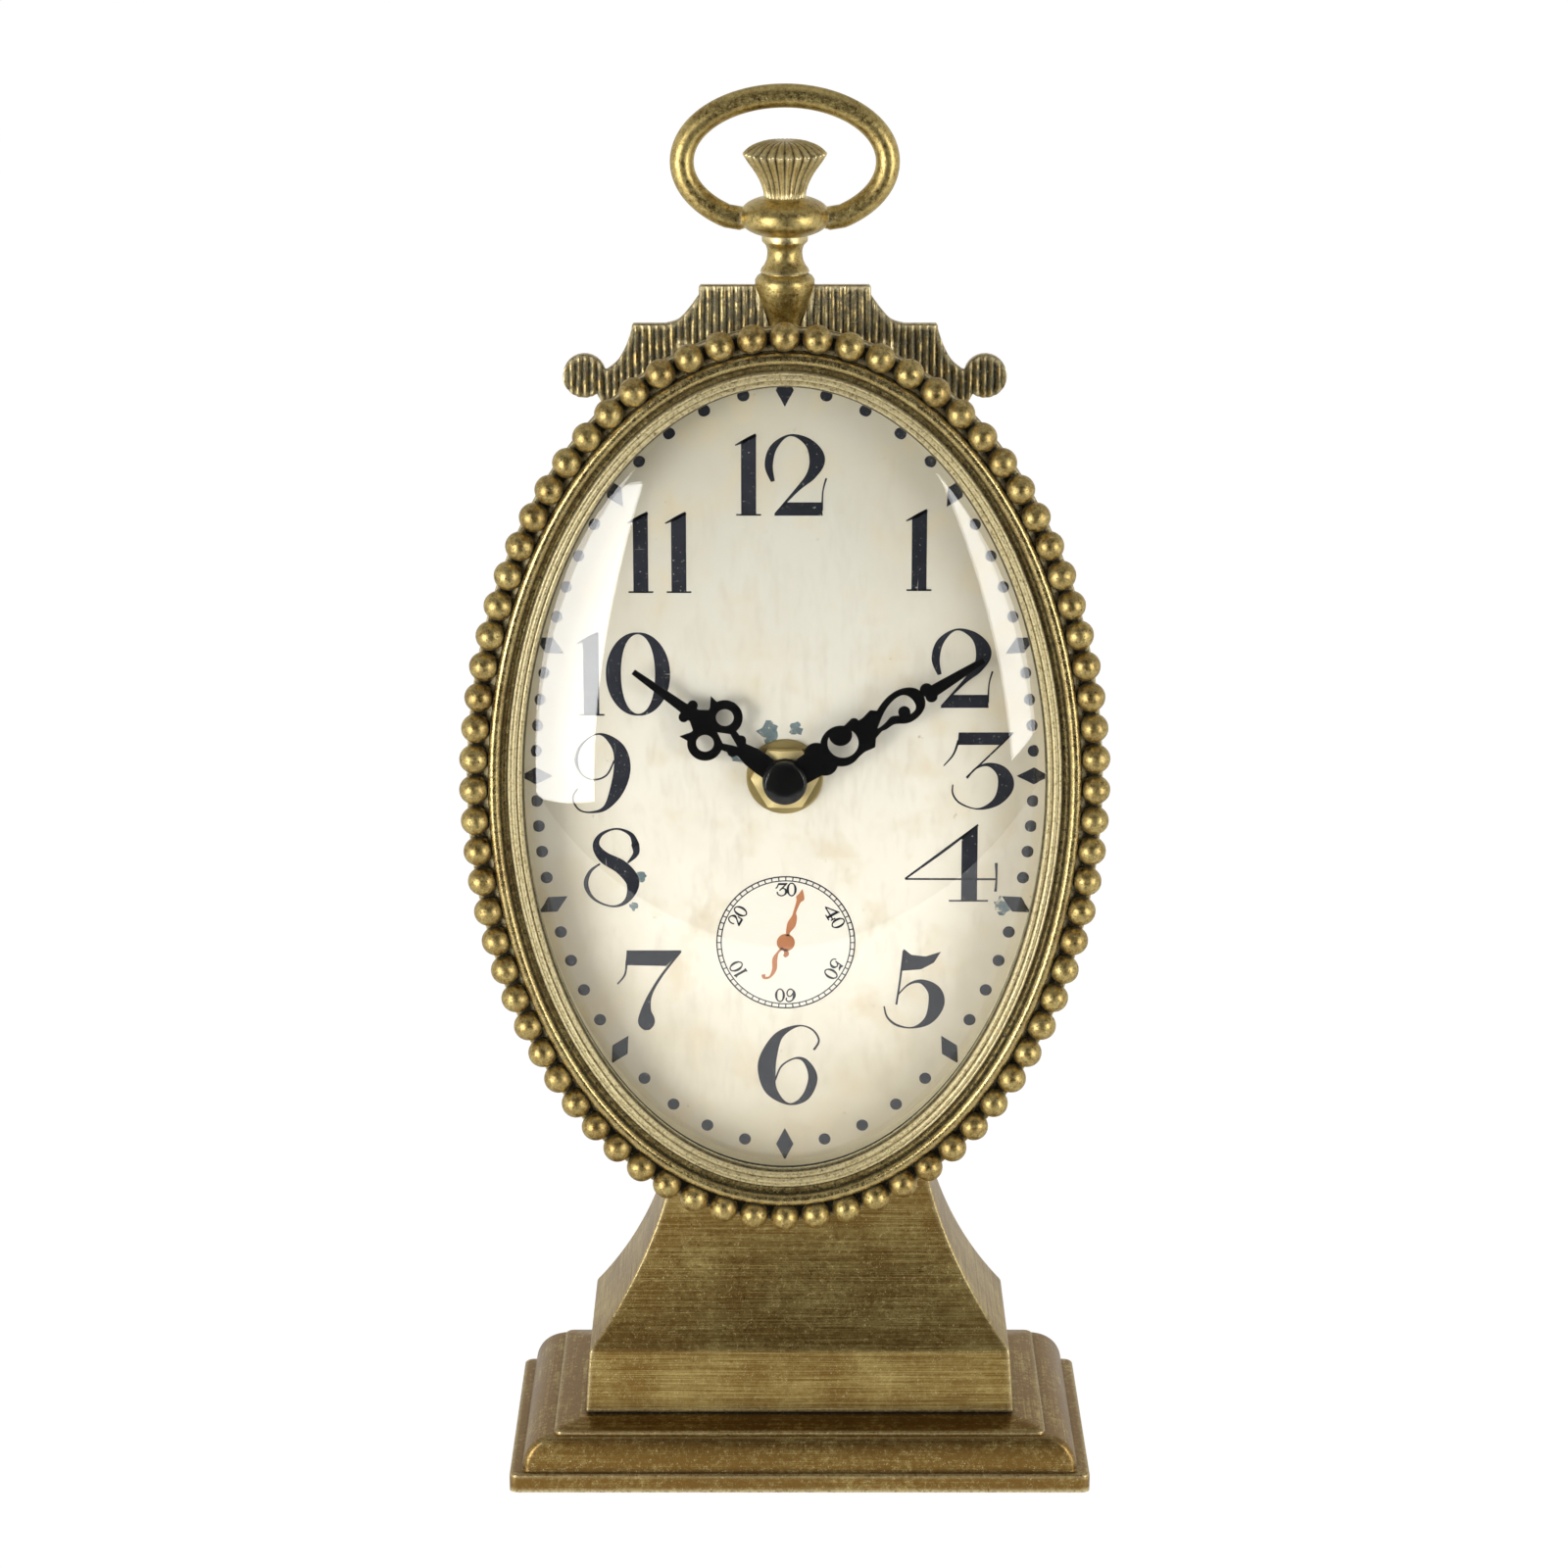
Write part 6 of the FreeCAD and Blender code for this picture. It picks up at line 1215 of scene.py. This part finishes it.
class CLOCK_OT_stains(bpy.types.Operator):
    """Green-grey stains on the dial"""
    bl_idname = "clock.stains"
    bl_label = "Stains"

    def execute(self, context):
        rng = random.Random(3)
        corners = 14
        bm = bmesh.new()
        spots = ((-3.2, 9.2, 2.4), (2.2, 9.6, 1.5), (-8.6, 3.9, 1.8), (-28.5, -20.7, 1.2),
                 (-30.1, -27.0, 0.9), (43.0, -26.8, 1.9))
        for x, z, radius in spots:
            points = []
            for i in range(corners):
                turn = TAU * i / corners
                reach = radius * rng.uniform(0.6, 1.15)
                points.append((x + reach * math.cos(turn), z + reach * math.sin(turn)))
            patch(bm, points, lambda a, b: (a * MM, 0.0, HUB.z + b * MM))
        print_piece("dial_stains", bm, "stain", lift=0.7)
        return {"FINISHED"}


# Hub
class CLOCK_OT_hub(bpy.types.Operator):
    """Washer and nut on the dial, and the cap on the hands"""
    bl_idname = "clock.hub"
    bl_label = "Hub"

    def execute(self, context):
        low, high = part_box("dial_washer")
        radius = size("dial_washer").x / 2
        soft = 0.25 * MM
        profile = [(BUSH_RADIUS, high.y), (BUSH_RADIUS, low.y), (radius - soft, low.y),
                   (radius, low.y + soft), (radius, high.y)]
        self.disc("brass_washer", profile, "dull_brass", "dial_washer", "bright_brass", "clock", True)
        self.nut()
        low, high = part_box("hand_cap")
        radius = size("hand_cap").x / 2
        face = radius - 0.5 * MM
        profile = [(x, low.y) for x in (0.0, face * 0.5, face - 0.15 * MM)]
        bore = 1.1 * MM
        deep = high.y - 1.0 * MM
        profile += [(face, low.y + 0.08 * MM), (radius - 0.05 * MM, low.y + 0.45 * MM),
                    (radius, low.y + 0.6 * MM), (radius, high.y), (bore, high.y), (bore, deep), (0.0, deep)]
        self.disc("black_cap_piece", profile, "black_cap", "hand_cap", "black_hands", "minute", False)
        return {"FINISHED"}

    def nut(self):
        """Hexagon with its front corners turned down."""
        low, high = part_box("dial_hex_nut")
        flats = 11.6 * MM
        bore = 3.95 * MM
        chamfer = 0.05 * MM
        steps = 96
        inside = []
        outside = []
        for i in range(steps):
            turn = TAU * i / steps
            reach = flats / 2 / math.cos((turn % (TAU / 6)) - TAU / 12)
            way = Vector((math.cos(turn), 0, math.sin(turn)))
            inside.append(HUB + way * bore)
            outside.append(HUB + way * reach)
        bm = bmesh.new()
        for points in (inside, outside):
            outline(bm, [(x, high.y, z) for x, _, z in points])
        bmesh.ops.bridge_loops(bm, edges=bm.edges[:])
        for vert in raised(bm, list(bm.faces)):
            reach = math.hypot(vert.co.x - HUB.x, vert.co.z - HUB.z)
            vert.co.y = low.y + 0.6 * max(0.0, reach - flats / 2 + chamfer)
        place_piece("hex_nut", bm, "bright_brass", "dial_hex_nut", crease=25)

    def disc(self, name, profile, look, node, slot, body, closed):
        bm = bmesh.new()
        spun_round_hub(bm, profile, 64, closed)
        place_piece(name, bm, look, node, 35, body)


# Pendant
class CLOCK_OT_pendant(bpy.types.Operator):
    """Turned neck, knop and fluted crown"""
    bl_idname = "clock.pendant"
    bl_label = "Pendant"

    def execute(self, context):
        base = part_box("case_drum")[1].z
        # Radius and height above the case, in millimetres
        neck = [(0.0, -2.2), (3.2, -2.2), (3.2, 1.6), (3.45, 2.8), (4.15, 4.3), (4.9, 6.1), (5.45, 7.9),
                (5.75, 9.4), (5.75, 10.2), (5.3, 10.9), (4.75, 11.25), (4.45, 11.4), (4.45, 11.6),
                (4.75, 11.75), (4.55, 12.3), (3.95, 13.1), (3.55, 14.0), (3.36, 15.2), (3.4, 16.0),
                (3.7, 16.9), (4.1, 17.3), (4.4, 17.6), (4.45, 18.1), (4.4, 19.1), (3.6, 19.7), (0.0, 19.7)]
        bm = turned_piece([(r * MM, z * MM) for r, z in neck], base)
        self.place("turned_neck", bm, "pendant_neck", 38)
        self.knop()
        self.crown()
        return {"FINISHED"}

    def place(self, name, bm, node, crease):
        place_piece(name, bm, "pendant", node, crease)

    def knop(self):
        half = 4.15 * MM
        radius = 8.7 * MM
        above_pins = 0.3 * MM
        bm = bmesh.new()
        bmesh.ops.create_uvsphere(bm, u_segments=64, v_segments=32, radius=radius)
        for vert in bm.verts:
            share = abs(vert.co.z) / radius
            vert.co.z = math.copysign(half * share ** 0.84, vert.co.z)
            vert.co.z += KNOP.z + above_pins
        self.place("oblate_knop", bm, "pendant_knop", 80)

    def crown(self):
        low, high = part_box("fluted_crown")
        tall = high.z - low.z
        rim = size("fluted_crown").x / 2
        foot = 4.1 * MM
        flare = [(foot + out * (rim - foot), up * tall)
                 for out, up in ((0.0, 0.0), (0.0, 0.13), (0.16, 0.30), (0.41, 0.46), (0.74, 0.62))]
        flare = curve_through(flare + [(rim - 0.15 * MM, 0.74 * tall)], 4)
        cap = [(rim - 0.15 * MM, 0.745 * tall), (rim, 0.77 * tall), (rim - 0.25 * MM, 0.81 * tall)]
        cap += [(out * rim, up * tall) for out, up in ((0.80, 0.90), (0.52, 0.975), (0.22, 0.998))]
        cap = curve_through(cap, 4)
        profile = [(0.0, 0.0)] + flare + cap[1:] + [(0.0, tall)]
        flutes = 26
        bm = turned_piece(profile, low.z, flutes * 10)
        layer = bm.verts.layers.float.new("grime_and_shade")
        for vert in bm.verts:
            radius = math.hypot(vert.co.x, vert.co.y)
            rise = (vert.co.z - low.z) / tall
            if radius < 0.25 * rim or rise < 0.03:
                continue
            turn = math.atan2(vert.co.y, vert.co.x)
            groove = (1 - abs(math.cos(turn * flutes / 2)) ** 1.1) * min(1.0, rise / 0.12)
            fade = 0.10 if rise < 0.85 else 0.10 * max(0.35, (1.0 - rise) / 0.15)
            share = 1 - fade * groove
            # The flute grooves are darkened: painted shade in the grooves, with tarnish.
            vert[layer] = 1.3 * max(0.0, groove - 0.35)
            vert.co.x *= share
            vert.co.y *= share
            if rise > 0.85:
                vert.co.z -= 0.25 * MM * groove * (radius / rim)
        self.place("crown_piece", bm, "fluted_crown", 70)


class CLOCK_OT_bow(bpy.types.Operator):
    """Bow ring that swings on the knop"""
    bl_idname = "clock.bow"
    bl_label = "Bow ring"

    def execute(self, context):
        wire = 2.3 * MM
        pin = 1.9 * MM
        half_x = size("bow_ring").x / 2 - wire
        half_z = 12.6 * MM
        centre_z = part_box("bow_ring")[1].z - wire - half_z
        start = math.asin((KNOP.z - centre_z) / half_z)
        sweep = math.pi - 2 * start
        steps = 110
        seat = 7.3 * MM
        path = [Vector((seat, 0, KNOP.z)), Vector((seat + 1.2 * MM, 0, KNOP.z - 0.1 * MM))]
        for i in range(1, steps):
            turn = start + sweep * i / steps
            path.append(Vector((half_x * math.cos(turn), 0, centre_z + half_z * math.sin(turn))))
        path += [Vector((-spot.x, 0, spot.z)) for spot in reversed(path[:2])]
        bm = bmesh.new()
        ring = None
        for index, spot in enumerate(path):
            ahead = path[min(index + 1, len(path) - 1)]
            behind = path[max(index - 1, 0)]
            facing = (ahead - behind).to_track_quat("Z", "Y").to_matrix().to_4x4()
            at_end = index in (0, len(path) - 1)
            radius = pin if at_end else wire
            made = bmesh.ops.create_circle(bm, segments=24, radius=radius, cap_ends=at_end,
                                           matrix=Matrix.Translation(spot) @ facing)
            loop = [e for e in bm.edges if all(v in made["verts"] for v in e.verts)]
            if ring:
                bmesh.ops.bridge_loops(bm, edges=ring + loop)
            ring = loop
        place_piece("bow_wire", bm, "pendant", "bow_ring", crease=50, body="bow")
        return {"FINISHED"}


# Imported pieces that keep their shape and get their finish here
CARRIED = {
    "plain_steel": ("foot_screws", "saddle_screws", "back_cover_screws", "cresting_screws", "pendant_stud",
                    "pendant_nut", "stator_plate", "battery_contacts"),
    "case": ("back_cover",),
    "black_rubber": ("lens_gasket", "rubber_washer"),
    "dial_metal": ("dial_plate",),
    "bright_brass": ("minute_arbor",),
    "black_hands": ("hour_hand", "minute_hand"),
    "black_plastic": ("movement_front", "movement_back"),
    "white_plastic": ("train_plate", "train_bridge", "hour_wheel", "motion_wheel", "centre_wheel",
                      "third_wheel", "second_wheel", "idler_wheel", "rotor", "setting_stem", "setting_knob"),
    "copper_coil": ("drive_coil",),
    "circuit_board": ("circuit_board",),
    "battery": ("battery",),
}


class CLOCK_OT_carried(bpy.types.Operator):
    """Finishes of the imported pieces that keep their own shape"""
    bl_idname = "clock.carried"
    bl_label = "Hands, movement, screws and cover"

    def execute(self, context):
        for look, nodes in CARRIED.items():
            for node in nodes:
                slots = frame["nodes"][node].material_slots
                for slot in slots:
                    slot.material = FINISHES[look]
                if not slots:
                    frame["nodes"][node].data.materials.append(FINISHES[look])
        return {"FINISHED"}


# Stage: name, spot, width, height, brightness and turn in degrees of each lamp
LAMPS = (
    ("left_softbox", (-0.66, -0.684, 0.145), 0.40, 0.56, 8.2, 0),
    ("right_softbox", (0.728, -0.611, 0.235), 0.30, 0.56, 6.2, 16),
    ("top_softbox", (0.0, -0.10, 1.05), 0.80, 0.60, 0.25, 0),
)
LAMP_AIM = Vector((0, 0, 0.15))
CAMERA_PITCH = math.radians(16)
CAMERA_REACH = 0.861
CAMERA_HEIGHT = 0.14
CAMERA_AIM = Vector((-0.16 * MM, 0, 0.1407))
CAMERA_LENS = 99.1
FLOOR_HALF = 4.0
FLOOR_FRONT = -0.30


class CLOCK_OT_stage(bpy.types.Operator):
    """White floor, white surroundings, soft lights and the camera"""
    bl_idname = "clock.stage"
    bl_label = "Stage"

    def execute(self, context):
        context.scene.view_settings.view_transform = "Standard"
        self.floor()
        self.world()
        for values in LAMPS:
            self.lamp(*values)
        self.camera()
        return {"FINISHED"}

    def place(self, name, data, spot):
        item = bpy.data.objects.new(name, data)
        item.location = spot
        bpy.context.scene.collection.objects.link(item)
        return item

    def camera(self):
        data = bpy.data.cameras.new("camera")
        data.lens = CAMERA_LENS
        data.clip_start = 0.05
        spot = (0.0, -CAMERA_REACH * math.cos(CAMERA_PITCH),
                CAMERA_HEIGHT + CAMERA_REACH * math.sin(CAMERA_PITCH))
        camera = self.place("camera", data, spot)
        aim = CAMERA_AIM - camera.location
        camera.rotation_euler = aim.to_track_quat("-Z", "Y").to_euler()
        bpy.context.scene.camera = camera

    def lamp(self, name, spot, wide, tall, radiance, lean):
        data = bpy.data.lights.new(name, "AREA")
        data.shape = "RECTANGLE"
        data.size = wide
        data.size_y = tall
        data.energy = radiance * math.pi * wide * tall
        facing = (LAMP_AIM - Vector(spot)).to_track_quat("-Z", "Y").to_matrix()
        turned = facing @ Matrix.Rotation(math.radians(lean), 3, "Z")
        self.place(name, data, spot).rotation_euler = turned.to_euler()

    def floor(self):
        """Floor that glows for the camera and keeps its shadow."""
        bm = bmesh.new()
        bmesh.ops.create_grid(bm, x_segments=2, y_segments=2, size=FLOOR_HALF)
        for vert in bm.verts:
            vert.co.y = max(vert.co.y, FLOOR_FRONT)
        mesh = bpy.data.meshes.new("white_floor")
        bm.to_mesh(mesh)
        bm.free()
        f = Finish("white_floor", Roughness=0.9, Base_Color=(0.9, 0.9, 0.9, 1))
        seen = (f.ray("Is Camera Ray") + f.ray("Is Transmission Ray")).clamp()
        glow = f.add("ShaderNodeEmission", {}, {"Strength": 1.11})
        f.cover(seen * 0.86 + f.ray("Is Glossy Ray") * 0.42, glow)
        mesh.materials.append(f.material)
        self.place("white_floor", mesh, (0, 0, 0))

    def world(self):
        """White to the camera; in reflections, dark in front and above."""
        world = bpy.data.worlds.new("studio")
        bpy.context.scene.world = world
        world.use_nodes = True
        n = Nodes(world.node_tree)
        way = n.add("ShaderNodeTexCoord", {}, out="Generated")

        def fade(axis, start, end, first, last):
            values = {"Value": n.add("ShaderNodeSeparateXYZ", {}, [way], axis), "From Min": start,
                      "From Max": end, "To Min": first, "To Max": last}
            return n.add("ShaderNodeMapRange", {"interpolation_type": "SMOOTHSTEP"}, values)

        def light(grey, strength):
            return n.add("ShaderNodeBackground", {}, {"Color": (grey, grey, grey, 1), "Strength": strength})

        mirror = light(0.8, fade("Y", -0.85, 0.1, 0.05, 1.0) * fade("Z", 0.2, 0.85, 1.0, 0.45))
        mirrored = n.ray("Is Glossy Ray").math("MAXIMUM", n.ray("Is Transmission Ray"))
        around = n.blend(mirrored, light(1, 0.38), mirror)
        seen = n.blend(n.ray("Is Camera Ray"), around, light(1, 1.0))
        n.link(seen, n.tree.nodes["World Output"].inputs["Surface"])


STEPS = (CLOCK_OT_stage, CLOCK_OT_foot, CLOCK_OT_pedestal, CLOCK_OT_felt, CLOCK_OT_case, CLOCK_OT_beads,
         CLOCK_OT_bezel, CLOCK_OT_glass, CLOCK_OT_cresting, CLOCK_OT_dial, CLOCK_OT_numerals,
         CLOCK_OT_minute_track, CLOCK_OT_small_circle, CLOCK_OT_stains, CLOCK_OT_hub, CLOCK_OT_pendant,
         CLOCK_OT_bow, CLOCK_OT_carried)


class CLOCK_PT_panel(bpy.types.Panel):
    """Lists the clock's pieces and sizes"""
    bl_idname = "CLOCK_PT_panel"
    bl_label = "Oval shelf clock"
    bl_space_type = "VIEW_3D"
    bl_region_type = "UI"
    bl_category = "Clock"

    def draw(self, context):
        for step in STEPS:
            self.layout.operator(step.bl_idname)
        for name, group in GROUPS.items():
            box = self.layout.box()
            for key in group.__annotations__:
                box.prop(getattr(context.scene, name), key)


GROUPS = {"clock_case": ClockCaseSizes, "clock_dial": ClockDialSizes, "clock_colours": ClockColours}


def register():
    for name, group in GROUPS.items():
        bpy.utils.register_class(group)
        setattr(bpy.types.Scene, name, PointerProperty(type=group))
    for step in STEPS:
        bpy.utils.register_class(step)
    bpy.utils.register_class(CLOCK_PT_panel)


def unregister():
    bpy.utils.unregister_class(CLOCK_PT_panel)
    for step in reversed(STEPS):
        bpy.utils.unregister_class(step)
    for name, group in GROUPS.items():
        delattr(bpy.types.Scene, name)
        bpy.utils.unregister_class(group)


def main():
    register()
    make_finishes()
    for step in STEPS:
        name = step.bl_idname.split(".")[1]
        getattr(bpy.ops.clock, name)()
    bpy.context.view_layer.update()


if __name__ == "__main__":
    main()
